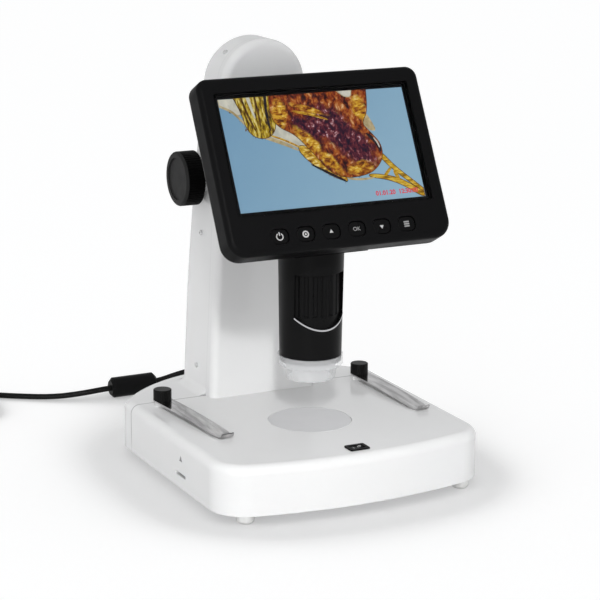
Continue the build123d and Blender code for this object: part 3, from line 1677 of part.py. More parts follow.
with BuildPart() as monitor_back:
    add(monitor_slab(monitor_rear, monitor_thickness - bezel_depth, 0))
    fillet(edges_on_level(monitor_back, monitor_rear), back_edge)
    add(monitor_slab(back_inside, monitor_thickness, monitor_wall), mode=Mode.SUBTRACT)
    add(pins(monitor_boss_spots, monitor_boss_radius, back_inside, bezel_back))
    add(pins(display_leg_spots, display_leg_radius, back_inside, display_board_back))
    add(pins(key_post_spots, display_leg_radius, back_inside, key_board_back))
    add(pins(hinge_screw_spots, boss_radius, back_inside, back_inside + hinge_boss_height))
    screw_seat = monitor_rear + monitor_screw_sink
    pocket_radius = side_screw_head_radius + monitor_screw_pocket
    add(pins(monitor_boss_spots, pocket_radius, monitor_rear, screw_seat), mode=Mode.SUBTRACT)
    add(pins(monitor_boss_spots, side_screw_radius, screw_seat, bezel_back), mode=Mode.SUBTRACT)
    add(
        pins(hinge_screw_spots, thread_radius, monitor_rear, back_inside + hinge_boss_height),
        mode=Mode.SUBTRACT,
    )
keep(monitor_back, "monitor_back")

with BuildPart() as display_window:
    with BuildSketch(at_level(window_top_level - window_thickness)):
        RectangleRounded(window_width, window_height, window_corner - window_fit)
    extrude(amount=window_thickness)
keep(display_window, "display_window")

with BuildPart() as lcd_panel:
    with BuildSketch(at_level(panel_back)):
        with Locations((0, -panel_drop)):
            Rectangle(panel_width, panel_height)
    extrude(amount=panel_thickness)
keep(lcd_panel, "lcd_panel")

with BuildPart() as display_board:
    with BuildSketch(at_level(display_board_back)):
        with Locations((0, -panel_drop)):
            Rectangle(display_board_width, display_board_height)
    extrude(amount=board_thickness)
    add(pins(display_leg_spots, display_leg_radius, display_board_top, panel_back))
    with BuildSketch(at_level(display_board_back)):
        with Locations((0, -panel_drop)):
            Rectangle(chip_size, chip_size)
    extrude(amount=-chip_height)
keep(display_board, "display_board")

with BuildPart() as key_board:
    with BuildSketch(at_level(key_board_back)):
        with Locations((key_row_x, -key_row_drop)):
            Rectangle(key_board_width, key_board_height)
    extrude(amount=board_thickness)
    with BuildSketch(at_level(key_board_top)):
        with Locations(*key_spots):
            Rectangle(switch_body, switch_body)
    extrude(amount=switch_body_height)
keep(key_board, "key_board")

key_width = key_well_width - 2 * key_fit
key_height = key_well_height - 2 * key_fit
key_corner = key_well_corner - key_fit
for name, spot in zip(("power", "camera", "up", "ok", "down", "menu"), key_spots):
    with BuildPart() as key:
        with BuildSketch(at_level(key_flange_back)):
            with Locations(spot):
                RectangleRounded(key_width, key_height, key_corner)
        extrude(amount=key_level - key_flange_back)
        fillet(edges_on_level(key, key_level), key_edge_radius)
        with BuildSketch(at_level(key_flange_back)):
            with Locations(spot):
                RectangleRounded(
                    key_width + 2 * key_flange, key_height + 2 * key_flange, key_corner + key_flange
                )
        extrude(amount=key_flange_thickness)
        add(pins([spot], key_stem_radius, key_stem_end, key_flange_back))
    keep(key, f"key_{name}")

with BuildPart() as hinge_bracket:
    with BuildSketch(at_level(monitor_rear)):
        with Locations((0, -monitor_drop)):
            Rectangle(2 * hinge_plate_half, hinge_plate_height)
    extrude(amount=-hinge_plate_thickness)
    with BuildSketch(at_level(monitor_rear - hinge_offset)):
        with Locations((0, -monitor_drop)):
            Rectangle(2 * knuckle_half, 2 * knuckle_radius)
    extrude(amount=hinge_offset - hinge_plate_thickness)
    with BuildSketch(Plane.YZ):
        with Locations((hinge_y, hinge_z)):
            Circle(knuckle_radius)
    extrude(amount=knuckle_half, both=True)
    with BuildSketch(Plane.YZ):
        with Locations((hinge_y, hinge_z)):
            Circle(hinge_pin_radius + pin_clearance)
    extrude(amount=knuckle_half, both=True, mode=Mode.SUBTRACT)
    add(
        pins(hinge_screw_spots, thread_radius, monitor_rear - hinge_plate_thickness, monitor_rear),
        mode=Mode.SUBTRACT,
    )
keep(hinge_bracket, "hinge_bracket")

with BuildPart() as monitor_screws:
    add(small_screws(at_level(screw_seat), monitor_boss_spots, monitor_screw_length))
    hinge_screw_plane = at_level(monitor_rear - hinge_plate_thickness)
    add(screws(hinge_screw_plane, hinge_screw_spots, hinge_screw_length))
keep(monitor_screws, "monitor_screws")

# ---- power cord ----

plug_end_y = half_depth + plug_length
cord_start_y = plug_end_y + relief_length
coil_side_reach = 160.0
coil_x = jack_x - coil_side_reach
coil_back_reach = 46.0
coil_y = cord_start_y + coil_back_reach
coil_outer = coil_inner + (coil_columns - 1) * coil_pitch
coil_bottom = tie_wall + tie_gap
coil_first_z = coil_bottom + cord_radius
coil_last_z = coil_first_z + (coil_layers - 1) * coil_pitch
coil_top = coil_last_z + cord_radius
usb_x = coil_x - coil_outer
usb_z = usb_body_height / 2
usb_reach = 36.2
usb_start_y = coil_y - usb_reach
cord_route = [
    (jack_x, cord_start_y, jack_z),
    (jack_x, cord_start_y + 10.8, jack_z),
    (jack_x - 4.5, cord_start_y + 22.3, 14.3),
    (jack_x - 14.0, cord_start_y + 30.0, 10.6),
    (jack_x - 29.0, cord_start_y + 31.5, 6.55),
    (jack_x - 61.0, cord_start_y + 31.5, 6.45),
    (jack_x - 76.5, cord_start_y + 34.3, 4.4),
    (jack_x - 94.0, cord_start_y + 40.8, 2.3),
    (jack_x - 113.0, cord_start_y + 53.3, 1.85),
    (jack_x - 133.0, cord_start_y + 67.3, 2.0),
    (coil_x + 13.0, coil_y + coil_outer, 2.4),
    (coil_x, coil_y + coil_outer, coil_first_z),
]
tail_route = [
    (usb_x, coil_y, coil_last_z),
    (usb_x, coil_y - 8.7, coil_last_z - 0.35),
    (usb_x, coil_y - 17.2, usb_z),
    (usb_x, usb_start_y + usb_relief_length, usb_z),
]


# Radius at each inner point, so that every bend takes the same share of its shorter run.
def bend_radii(points):
    radii = []
    for before, here, after in zip(points, points[1:], points[2:]):
        into = Vector(*here) - Vector(*before)
        away = Vector(*after) - Vector(*here)
        half_turn = radians(into.get_angle(away)) / 2
        radii.append(bend_share * min(into.length, away.length) / tan(half_turn))
    return radii


def cord_stretch(points):
    with BuildPart() as stretch:
        with BuildLine() as path:
            FilletPolyline(*points, radius=bend_radii(points))
        start = Vector(*points[0])
        with BuildSketch(Plane(origin=start, z_dir=Vector(*points[1]) - start)):
            Circle(cord_radius)
        sweep(path=path.wire())
    return stretch.part, path.wire().length


with BuildPart() as cord_tube:
    for route in (cord_route, tail_route):
        stretch_part, stretch_length = cord_stretch(route)
        print("cord bends", [round(radius, 1) for radius in bend_radii(route)])
        print("cord volume", stretch_part.volume, "and", pi * cord_radius**2 * stretch_length)
        print("cord stretch length", stretch_length)
        add(stretch_part)
keep(cord_tube, "cord_tube")

with BuildPart() as dc_plug:
    with BuildSketch(Plane.XZ.offset(-half_depth)):
        with Locations((jack_x, jack_z)):
            Circle(plug_radius)
    extrude(amount=-plug_length)
    fillet(dc_plug.edges().group_by(Axis.Y)[-1], plug_edge)
    with BuildSketch(Plane.XZ.offset(-half_depth)):
        with Locations((jack_x, jack_z)):
            Circle(plug_barrel_radius)
    extrude(amount=plug_barrel_length)
    with BuildSketch(Plane.XZ.offset(-half_depth + plug_barrel_length)):
        with Locations((jack_x, jack_z)):
            Circle(plug_barrel_bore)
    extrude(amount=-plug_barrel_length, mode=Mode.SUBTRACT)
    with BuildSketch(Plane.XZ.offset(-plug_end_y)):
        with Locations((jack_x, jack_z)):
            Circle(relief_start_radius)
    with BuildSketch(Plane.XZ.offset(-cord_start_y)):
        with Locations((jack_x, jack_z)):
            Circle(relief_end_radius)
    loft()
keep(dc_plug, "dc_plug")

ferrite_run = [Vector(*cord_route[4]), Vector(*cord_route[5])]
ferrite_line = (ferrite_run[1] - ferrite_run[0]).normalized()
ferrite_start = ferrite_run[0] + ferrite_line * (ferrite_run[1] - ferrite_run[0]).length / 2
ferrite_start = ferrite_start - ferrite_line * ferrite_length / 2
with BuildPart() as ferrite_core:
    with BuildSketch(Plane(origin=ferrite_start, z_dir=ferrite_line)):
        Circle(ferrite_radius)
        Circle(cord_radius, mode=Mode.SUBTRACT)
    extrude(amount=ferrite_length)
    rims = ferrite_core.edges().filter_by(GeomType.CIRCLE)
    chamfer(rims.filter_by(lambda edge: edge.radius > cord_radius + edge_margin), ferrite_chamfer)
keep(ferrite_core, "ferrite_core")

with BuildPart() as cord_coil:
    with BuildSketch(Plane.XY.offset(coil_bottom)):
        with Locations((coil_x, coil_y)):
            Circle(coil_outer + cord_radius)
            Circle(coil_inner - cord_radius, mode=Mode.SUBTRACT)
    extrude(amount=coil_top - coil_bottom)
    fillet(cord_coil.edges().filter_by(GeomType.CIRCLE), coil_edge)
keep(cord_coil, "cord_coil")

tie_near = sqrt((coil_inner - cord_radius) ** 2 - (tie_width / 2) ** 2) - tie_gap
tie_far = coil_outer + cord_radius + tie_gap
tie_height = coil_top - coil_bottom + 2 * tie_gap
tie_plane = Plane(
    origin=(coil_x, coil_y, 0),
    x_dir=(cos(radians(tie_angle)), sin(radians(tie_angle)), 0),
    z_dir=(sin(radians(tie_angle)), -cos(radians(tie_angle)), 0),
)
with BuildPart() as coil_tie:
    with BuildSketch(tie_plane):
        with Locations(((tie_near + tie_far) / 2, (coil_bottom + coil_top) / 2)):
            RectangleRounded(
                tie_far - tie_near + 2 * tie_wall, tie_height + 2 * tie_wall, coil_edge + tie_wall
            )
            RectangleRounded(
                tie_far - tie_near, tie_height, coil_edge, mode=Mode.SUBTRACT
            )
    extrude(amount=tie_width / 2, both=True)
keep(coil_tie, "coil_tie")

usb_back_y = usb_start_y - usb_body_length
with BuildPart() as usb_plug:
    with BuildSketch(Plane.XZ.offset(-usb_start_y)):
        with Locations((usb_x, usb_z)):
            RectangleRounded(usb_body_width, usb_body_height, usb_edge)
    extrude(amount=usb_body_length)
    with BuildSketch(Plane.XZ.offset(-usb_start_y)):
        with Locations((usb_x, usb_z)):
            Circle(usb_relief_radius)
    with BuildSketch(Plane.XZ.offset(-usb_start_y - usb_relief_length)):
        with Locations((usb_x, usb_z)):
            Circle(relief_end_radius)
    loft()
    with BuildSketch(Plane.XZ.offset(-usb_back_y)):
        with Locations((usb_x, usb_z)):
            Rectangle(usb_shell_width, usb_shell_height)
            Rectangle(
                usb_shell_width - 2 * usb_shell_wall,
                usb_shell_height - 2 * usb_shell_wall,
                mode=Mode.SUBTRACT,
            )
        with Locations((usb_x, usb_z + usb_shell_height / 2 - usb_shell_wall - usb_tongue_height / 2)):
            Rectangle(usb_shell_width - 2 * usb_shell_wall, usb_tongue_height)
    extrude(amount=usb_shell_length)
keep(usb_plug, "usb_plug")
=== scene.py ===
import bpy
import random
from math import cos, pi, radians, sin
from mathutils import Matrix, Vector


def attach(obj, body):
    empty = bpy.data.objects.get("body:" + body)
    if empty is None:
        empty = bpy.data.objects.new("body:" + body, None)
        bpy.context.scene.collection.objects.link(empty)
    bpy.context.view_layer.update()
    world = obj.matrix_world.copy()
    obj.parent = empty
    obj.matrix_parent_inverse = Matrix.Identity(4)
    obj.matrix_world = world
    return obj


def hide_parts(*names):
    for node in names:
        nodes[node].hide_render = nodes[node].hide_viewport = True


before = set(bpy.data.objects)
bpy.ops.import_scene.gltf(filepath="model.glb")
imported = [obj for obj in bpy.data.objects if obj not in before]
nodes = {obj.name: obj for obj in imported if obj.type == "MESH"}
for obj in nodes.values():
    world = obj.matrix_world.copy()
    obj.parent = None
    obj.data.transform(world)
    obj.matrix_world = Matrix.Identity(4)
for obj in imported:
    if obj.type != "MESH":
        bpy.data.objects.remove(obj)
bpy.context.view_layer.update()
mm = 0.001  # sizes and places are in millimetres, except where a note says metres


def report(words):
    print("stage:", words)


def deselectAll():
    if bpy.context.object and bpy.context.object.mode != "OBJECT":
        bpy.ops.object.mode_set(mode="OBJECT")
    bpy.ops.object.select_all(action="DESELECT")


def pick(piece):
    deselectAll()
    piece.select_set(True)
    bpy.context.view_layer.objects.active = piece


def addToScene(name, data):
    thing = bpy.data.objects.new(name, data)
    bpy.context.scene.collection.objects.link(thing)
    return thing


# Puts an object's place, turn and size into its mesh.
def settle():
    bpy.ops.object.transform_apply(location=True, rotation=True, scale=True)


cameraSet = {
    "turn": 26.706,
    "rise": 14.309,
    "roll": 0.398,
    "distance": 1171.7,
    "aim": (-6.64, -25.8, 101.93),
    "lens": 128.04,
    "sensor": 36,
    "farthest": 20,  # metres
}


# A direction that is turned to the left of the front and raised above the table.
def towards(turn, rise):
    turn, rise = radians(turn), radians(rise)
    return Vector((-sin(turn) * cos(rise), -cos(turn) * cos(rise), sin(rise)))


def makeCamera():
    away = towards(cameraSet["turn"], cameraSet["rise"])
    data = bpy.data.cameras.new("camera")
    data.sensor_width = cameraSet["sensor"]
    data.lens = cameraSet["lens"]
    data.clip_end = cameraSet["farthest"]
    camera = addToScene("camera", data)
    camera.location = Vector(cameraSet["aim"]) * mm + away * cameraSet["distance"] * mm
    face = (-away).to_track_quat("-Z", "Y").to_matrix()
    lean = Matrix.Rotation(radians(cameraSet["roll"]), 3, "Z")
    camera.rotation_euler = (face @ lean).to_euler()
    bpy.context.scene.camera = camera
    bpy.context.scene.view_settings.view_transform = "Standard"


makeCamera()
report("camera")

cordSet = {
    "radius": 1.75,
    "route": [
        (14.0, 128.2, 16.0), (14.0, 139.0, 16.0), (9.5, 150.5, 14.3), (0.0, 158.2, 10.6),
        (-15.0, 159.7, 6.55), (-47.0, 159.7, 6.45), (-62.5, 162.5, 4.4), (-80.0, 169.0, 2.3),
        (-99.0, 181.5, 1.85), (-119.0, 195.5, 2.0), (-133.0, 200.0, 2.4),
    ],
    "tail": [(-171.8, 165.5, 5.9), (-171.8, 157.0, 3.7), (-171.8, 148.0, 3.7)],
    "coilMiddle": (-146.0, 174.2),
    "coilInner": 15.0,
    "coilOuter": 25.8,
    "coilLow": 2.65,
    "pitch": 3.6,
    "turns": 8.25,
    "climbFrom": 3.6,
    "climbOver": 0.9,
    "pointsInTurn": 16,
    "smoothness": 4,
}


# The coil goes round four times inwards on the table and four times outwards on top of that.
def coilPoints():
    middleX, middleY = cordSet["coilMiddle"]
    reach = cordSet["coilOuter"] - cordSet["coilInner"]
    count = int(cordSet["turns"] * cordSet["pointsInTurn"])
    spread = 1 / cos(pi / cordSet["pointsInTurn"])  # the curve runs inside its points
    points = []
    for step in range(count + 1):
        turn = step / cordSet["pointsInTurn"]
        share = turn / cordSet["turns"]
        inward = min(1, 2 * share) if share < 0.5 else 2 - 2 * share
        radius = cordSet["coilOuter"] - reach * inward
        climb = min(1, max(0, (turn - cordSet["climbFrom"]) / cordSet["climbOver"]))
        angle = pi / 2 + 2 * pi * turn
        wide = spread if 0 < step < count else 1
        points.append((
            middleX + radius * cos(angle) * wide,
            middleY + radius * sin(angle) * wide,
            cordSet["coilLow"] + cordSet["pitch"] * climb,
        ))
    return points


def makeCord():
    points = cordSet["route"] + coilPoints() + cordSet["tail"]
    data = bpy.data.curves.new("powerCord", "CURVE")
    data.dimensions = "3D"
    spline = data.splines.new("NURBS")
    spline.points.add(len(points) - 1)
    for place, point in zip(spline.points, points):
        place.co = (*(Vector(point) * mm), 1)
        place.radius = cordSet["radius"] * mm
    spline.order_u = 3
    spline.use_endpoint_u = True
    spline.resolution_u = cordSet["smoothness"]
    data.bevel_depth = 1  # times each point's radius
    data.bevel_resolution = cordSet["smoothness"]
    data.use_fill_caps = True
    cord = addToScene("powerCord", data)
    length = spline.calc_length()
    print("cord length", length)
    return cord, length


powerCord, cordLength = makeCord()
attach(powerCord, "base")
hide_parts("cord_tube", "cord_coil")
report("cord")


def newMaterial(name):
    material = bpy.data.materials.new(name)
    material.use_nodes = True
    tree = material.node_tree
    return material, tree, tree.nodes["Principled BSDF"]


def objectPlace(tree):
    return tree.nodes.new("ShaderNodeTexCoord").outputs["Object"]


# One value of a place on the object, so that a colour can follow it.
def axisNode(tree, coordinates, axis):
    apart = tree.nodes.new("ShaderNodeSeparateXYZ")
    tree.links.new(coordinates, apart.inputs[0])
    return apart.outputs[axis]


# How fine each kind of mottle is.
noiseDetail = {"grain": 2, "cloud": 3, "scuff": 4, "ragged": 4, "blotch": 5}


def noiseNode(tree, coordinates, scale, kind):
    noise = tree.nodes.new("ShaderNodeTexNoise")
    noise.inputs["Scale"].default_value = scale
    noise.inputs["Detail"].default_value = noiseDetail[kind]
    tree.links.new(coordinates, noise.inputs["Vector"])
    return noise.outputs["Fac"]


def mathNode(tree, operation, first, second):
    work = tree.nodes.new("ShaderNodeMath")
    work.operation = operation
    tree.links.new(first, work.inputs[0])
    if isinstance(second, (int, float)):
        work.inputs[1].default_value = second
    else:
        tree.links.new(second, work.inputs[1])
    return work.outputs[0]


def rangeNode(tree, value, low, high, newLow, newHigh, way="LINEAR"):
    change = tree.nodes.new("ShaderNodeMapRange")
    change.interpolation_type = way
    change.inputs["From Min"].default_value = low
    change.inputs["From Max"].default_value = high
    change.inputs["To Min"].default_value = newLow
    change.inputs["To Max"].default_value = newHigh
    tree.links.new(value, change.inputs["Value"])
    return change.outputs["Result"]


# Mixes two colours by a factor. Each is a plain colour or comes from another node.
def mixColors(tree, factor, first, second):
    mix = tree.nodes.new("ShaderNodeMix")
    mix.data_type = "RGBA"
    tree.links.new(factor, mix.inputs["Factor"])
    for end, color in (("A", first), ("B", second)):
        if isinstance(color, tuple):
            mix.inputs[end].default_value = (*color, 1)
        else:
            tree.links.new(color, mix.inputs[end])
    return mix.outputs["Result"]


# Lengths in the studio are in metres.
studioSet = {
    "floorSize": 14,
    "floorColor": (0.93, 0.93, 0.93),
    "shownColor": (0.55, 0.55, 0.55),
    "lift": 0.63,
    # Near the base the glow falls from lift to this value. This is a painted shadow, spread by ambient
    # occlusion over shadeReach metres.
    "liftInPaintedShadow": 0.37,
    "shadeReach": 0.115,
    "shadeFrom": 0.82,
    "shadeTo": 0.97,
    "shadeSamples": 32,
    "skyColor": (0.985, 0.992, 1),
    "skyStrength": 0.655,
    "lamps": {
        "keyLamp": {
            "turn": 24, "rise": 37, "away": 2.2, "size": 0.16, "power": 0.26, "spread": 19,
            "aim": (0, -0.06, -0.02), "skipsTable": True,
        },
        "frontLamp": {
            "turn": 38, "rise": 7, "away": 2.6, "size": 0.7, "power": 14, "spread": 180,
            "aim": (0, -0.02, 0.05), "skipsTable": False,
        },
    },
}


# One where the eye looks straight at a surface or through clear plastic. With gloss, also in mirror images.
def cameraGate(tree, gloss=True):
    path = tree.nodes.new("ShaderNodeLightPath")
    gate = mathNode(tree, "MAXIMUM", path.outputs["Is Camera Ray"], path.outputs["Is Transmission Ray"])
    return mathNode(tree, "MAXIMUM", gate, path.outputs["Is Glossy Ray"]) if gloss else gate


# A wide pale table that looks white in the open and soft grey close to the base. Near the base the glow is
# dimmed as a painted shadow, on top of the real shade.
def makeFloor():
    deselectAll()
    bpy.ops.mesh.primitive_plane_add(size=studioSet["floorSize"], location=(0, 0, 0))
    floor = bpy.context.object
    floor.name = "tableTop"
    material = bpy.data.materials.new("paleTable")
    material.use_nodes = True
    tree = material.node_tree
    tree.nodes.clear()
    gate = cameraGate(tree)
    plain = tree.nodes.new("ShaderNodeBsdfDiffuse")
    color = mixColors(tree, gate, studioSet["floorColor"], studioSet["shownColor"])
    tree.links.new(color, plain.inputs["Color"])
    # Ambient occlusion dims the glow near the base: a painted shadow.
    nearby = tree.nodes.new("ShaderNodeAmbientOcclusion")
    nearby.samples = studioSet["shadeSamples"]
    nearby.inputs["Distance"].default_value = studioSet["shadeReach"]
    glowLessPaintedShadow = rangeNode(tree, nearby.outputs["AO"], studioSet["shadeFrom"], studioSet["shadeTo"],
                         studioSet["liftInPaintedShadow"], studioSet["lift"], "SMOOTHSTEP")
    glow = tree.nodes.new("ShaderNodeEmission")
    tree.links.new(mathNode(tree, "MULTIPLY", gate, glowLessPaintedShadow), glow.inputs["Strength"])
    both = tree.nodes.new("ShaderNodeAddShader")
    out = tree.nodes.new("ShaderNodeOutputMaterial")
    tree.links.new(plain.outputs[0], both.inputs[0])
    tree.links.new(glow.outputs[0], both.inputs[1])
    tree.links.new(both.outputs[0], out.inputs["Surface"])
    floor.data.materials.append(material)
    return floor


# Pale even light from all round, and plain white where the eye looks past the table.
def makeSky():
    world = bpy.data.worlds.new("studio")
    bpy.context.scene.world = world
    world.use_nodes = True
    tree = world.node_tree
    ground = tree.nodes["Background"]
    ground.inputs["Color"].default_value = (*studioSet["skyColor"], 1)
    ground.inputs["Strength"].default_value = studioSet["skyStrength"]
    seen = tree.nodes.new("ShaderNodeBackground")
    seen.inputs["Color"].default_value = (1, 1, 1, 1)
    both = tree.nodes.new("ShaderNodeMixShader")
    tree.links.new(cameraGate(tree, False), both.inputs["Fac"])
    tree.links.new(ground.outputs[0], both.inputs[1])
    tree.links.new(seen.outputs[0], both.inputs[2])
    tree.links.new(both.outputs[0], tree.nodes["World Output"].inputs["Surface"])


def makeLamp(name, lampSet, floor):
    data = bpy.data.lights.new(name, "AREA")
    data.energy = lampSet["power"]
    data.size = lampSet["size"]
    data.spread = radians(lampSet["spread"])
    lamp = addToScene(name, data)
    away = towards(lampSet["turn"], lampSet["rise"])
    lamp.location = Vector(lampSet["aim"]) + away * lampSet["away"]
    lamp.rotation_euler = away.to_track_quat("Z", "Y").to_euler()
    if lampSet["skipsTable"]:
        unlit = bpy.data.collections.new(name + "Skips")
        unlit.objects.link(floor)
        unlit.collection_objects[0].light_linking.link_state = "EXCLUDE"
        lamp.light_linking.receiver_collection = unlit


floor = makeFloor()
makeSky()
for lampName, lampSet in studioSet["lamps"].items():
    makeLamp(lampName, lampSet, floor)
report("floor and light")

# The texture sizes count waves in a metre. The bump's depth is in millimetres.
surfaceSet = {
    "cloud": 24,
    "blotch": 120,
    "blotchRange": (0.3, 0.7),
    "uneven": 0.15,
    "bumpDepth": 0.05,
    "streakRange": (0.36, 0.64),
    "smoothAngle": 32,
}
finishSet = {
    "whiteShell": {
        "color": (0.8, 0.8, 0.8), "shade": (0.77, 0.77, 0.77),
        "rough": 0.13, "shine": 0.5, "grain": 700, "bump": 0.048, "seam": 0.6,
    },
    "whiteParts": {
        "color": (0.74, 0.74, 0.73), "shade": (0.68, 0.68, 0.67),
        "rough": 0.4, "shine": 0.4, "grain": 900, "bump": 0.12,
    },
    "mattBlack": {
        "color": (0.005, 0.005, 0.0054), "shade": (0.007, 0.007, 0.0074),
        "rough": 0.38, "shine": 0.035, "grain": 2600, "bump": 0.4,
    },
    "tubeBlack": {
        "color": (0.005, 0.005, 0.0052), "shade": (0.0072, 0.0072, 0.0074),
        "rough": 0.32, "shine": 0.05, "grain": 3200, "bump": 0.48,
    },
    "knobBlack": {
        "color": (0.0016, 0.0016, 0.0016), "shade": (0.003, 0.003, 0.003),
        "rough": 0.42, "shine": 0.04, "grain": 2400, "bump": 0.48, "face": (0.024, 0.024, 0.024),
    },
    "clipBlack": {
        "color": (0.003, 0.003, 0.003), "shade": (0.006, 0.006, 0.006),
        "rough": 0.35, "shine": 0.12, "grain": 2400, "bump": 0.4,
    },
    "keyBlack": {
        "color": (0.0026, 0.0026, 0.0028), "shade": (0.0045, 0.0045, 0.0047),
        "rough": 0.3, "shine": 0.08, "grain": 1800, "bump": 0.16,
    },
    "cordBlack": {
        "color": (0.004, 0.004, 0.004), "shade": (0.007, 0.007, 0.007),
        "rough": 0.45, "shine": 0.12, "grain": 1500, "bump": 0.56,
    },
    "footRubber": {
        "color": (0.7, 0.7, 0.69), "shade": (0.62, 0.62, 0.61),
        "rough": 0.5, "shine": 0.3, "grain": 1500, "bump": 0.4,
    },
    "greenBoard": {
        "color": (0.02, 0.1, 0.045), "shade": (0.03, 0.16, 0.07),
        "rough": 0.35, "shine": 0.5, "grain": 600, "bump": 0.24,
    },
    "whiteBoard": {
        "color": (0.8, 0.8, 0.78), "shade": (0.72, 0.72, 0.7),
        "rough": 0.35, "shine": 0.5, "grain": 600, "bump": 0.2,
    },
    "steel": {
        "color": (0.6, 0.61, 0.63), "shade": (0.52, 0.53, 0.55),
        "rough": 0.3, "metal": 1, "shine": 0.5, "grain": 500, "bump": 0.12,
    },
    "springSteel": {
        "color": (0.7, 0.69, 0.69), "shade": (0.36, 0.355, 0.355),
        "rough": 0.14, "metal": 1, "shine": 0.5, "grain": 420, "bump": 0.08, "streak": (260, 40, 40),
    },
    "screwSteel": {
        "color": (0.3, 0.3, 0.31), "shade": (0.4, 0.4, 0.41),
        "rough": 0.35, "metal": 1, "shine": 0.5, "grain": 900, "bump": 0.2,
    },
    "palePlate": {
        "color": (0.74, 0.74, 0.74), "shade": (0.64, 0.64, 0.65),
        "rough": 0.35, "metal": 0.6, "shine": 0.5, "grain": 900, "bump": 0.2,
    },
    "alloy": {
        "color": (0.62, 0.63, 0.65), "shade": (0.55, 0.56, 0.58),
        "rough": 0.38, "metal": 1, "shine": 0.5, "grain": 700, "bump": 0.2,
    },
    "brass": {
        "color": (0.62, 0.44, 0.2), "shade": (0.52, 0.36, 0.15),
        "rough": 0.32, "metal": 1, "shine": 0.5, "grain": 700, "bump": 0.2,
    },
    "silverTrim": {
        "color": (0.6, 0.6, 0.61), "shade": (0.42, 0.42, 0.44),
        "rough": 0.16, "metal": 1, "shine": 0.5, "grain": 900, "bump": 0.12,
    },
}
seamSet = {
    "place": 41.2,
    "half": 0.22,
    "soft": 0.35,
    "faintAbove": 32.6,
    "faintOver": 1,
    "faint": 0.12,
    "lowFrom": 8,
    "lowTo": 16,
    "low": 0.3,
    "color": (0.10, 0.10, 0.10),
}
knobSet = {"dishFrom": 43.0, "dishTo": 43.4}


# Painted shadow line where the front and rear shells meet, fainter up the column and near the table.
def seamFactor(tree, coordinates, strength):
    away = mathNode(tree, "SUBTRACT", axisNode(tree, coordinates, "Y"), seamSet["place"] * mm)
    away = mathNode(tree, "ABSOLUTE", away, 0)
    near, far = seamSet["half"] * mm, (seamSet["half"] + seamSet["soft"]) * mm
    line = rangeNode(tree, away, near, far, strength, 0)
    height = axisNode(tree, coordinates, "Z")
    low, high = seamSet["faintAbove"] * mm, (seamSet["faintAbove"] + seamSet["faintOver"]) * mm
    line = mathNode(tree, "MULTIPLY", line, rangeNode(tree, height, low, high, 1, seamSet["faint"]))
    low, high = seamSet["lowFrom"] * mm, seamSet["lowTo"] * mm
    return mathNode(tree, "MULTIPLY", line, rangeNode(tree, height, low, high, seamSet["low"], 1))


# Cloudy colour drawn out along the clip leaves.
def streakFactor(tree, coordinates, stretch):
    along = tree.nodes.new("ShaderNodeMapping")
    along.inputs["Scale"].default_value = stretch
    tree.links.new(coordinates, along.inputs["Vector"])
    cloud = noiseNode(tree, along.outputs["Vector"], 1, "cloud")
    return rangeNode(tree, cloud, *surfaceSet["streakRange"], 0, 1)


# Paler dished face on the outer end of a focus knob.
def dishFactor(tree, coordinates):
    out = mathNode(tree, "ABSOLUTE", axisNode(tree, coordinates, "X"), 0)
    return rangeNode(tree, out, knobSet["dishFrom"] * mm, knobSet["dishTo"] * mm, 0, 1)


def addGrain(tree, shader, coordinates, size, strength):
    bump = tree.nodes.new("ShaderNodeBump")
    bump.inputs["Strength"].default_value = strength
    bump.inputs["Distance"].default_value = surfaceSet["bumpDepth"] * mm
    tree.links.new(noiseNode(tree, coordinates, size, "grain"), bump.inputs["Height"])
    tree.links.new(bump.outputs["Normal"], shader.inputs["Normal"])


# One moulded or metal finish: cloudy colour, uneven gloss and a fine grain.
def makeFinish(name):
    finish = finishSet[name]
    material, tree, shader = newMaterial(name)
    coordinates = objectPlace(tree)
    if "streak" in finish:
        cloud = streakFactor(tree, coordinates, finish["streak"])
    else:
        cloud = noiseNode(tree, coordinates, surfaceSet["cloud"], "cloud")
    color = mixColors(tree, cloud, finish["color"], finish["shade"])
    # The shells meet flush, so the dark line at their seam is painted shade.
    if "seam" in finish:
        color = mixColors(tree, seamFactor(tree, coordinates, finish["seam"]), color, seamSet["color"])
    if "face" in finish:
        color = mixColors(tree, dishFactor(tree, coordinates), color, finish["face"])
    tree.links.new(color, shader.inputs["Base Color"])
    blotch = noiseNode(tree, coordinates, surfaceSet["blotch"], "blotch")
    low, high = finish["rough"] * (1 - surfaceSet["uneven"]), finish["rough"] * (1 + surfaceSet["uneven"])
    rough = rangeNode(tree, blotch, *surfaceSet["blotchRange"], low, high)
    tree.links.new(rough, shader.inputs["Roughness"])
    shader.inputs["Metallic"].default_value = finish.get("metal", 0)
    shader.inputs["Specular IOR Level"].default_value = finish["shine"]
    addGrain(tree, shader, coordinates, finish["grain"], finish["bump"])
    return material


finishes = {name: makeFinish(name) for name in finishSet}
discSet = {
    "color": (0.63, 0.63, 0.64), "shade": (0.68, 0.68, 0.69), "cloud": 60, "rough": 0.42,
    "milk": 0.2, "depth": 2, "grain": 2500, "bump": 0.15,
}
clearSet = {
    "windowPane": {"tint": (1, 1, 1), "deeper": 0.97, "cloud": 40, "bend": 1.01, "shine": 0.1},
    "lensGlass": {
        "tint": (0.95, 0.97, 0.99), "deeper": 0.97, "cloud": 40, "bend": 1.5, "shine": 0.5,
        "haze": (0.006, 0.016), "scuffRange": (0.4, 0.7), "scuff": 300,
    },
}
tipSet = {
    "tint": (0.86, 0.87, 0.88), "deeper": 0.95, "cloud": 90, "cover": 0.30,
    "haze": (0.08, 0.2), "scuffRange": (0.3, 0.7), "scuff": 300,
}


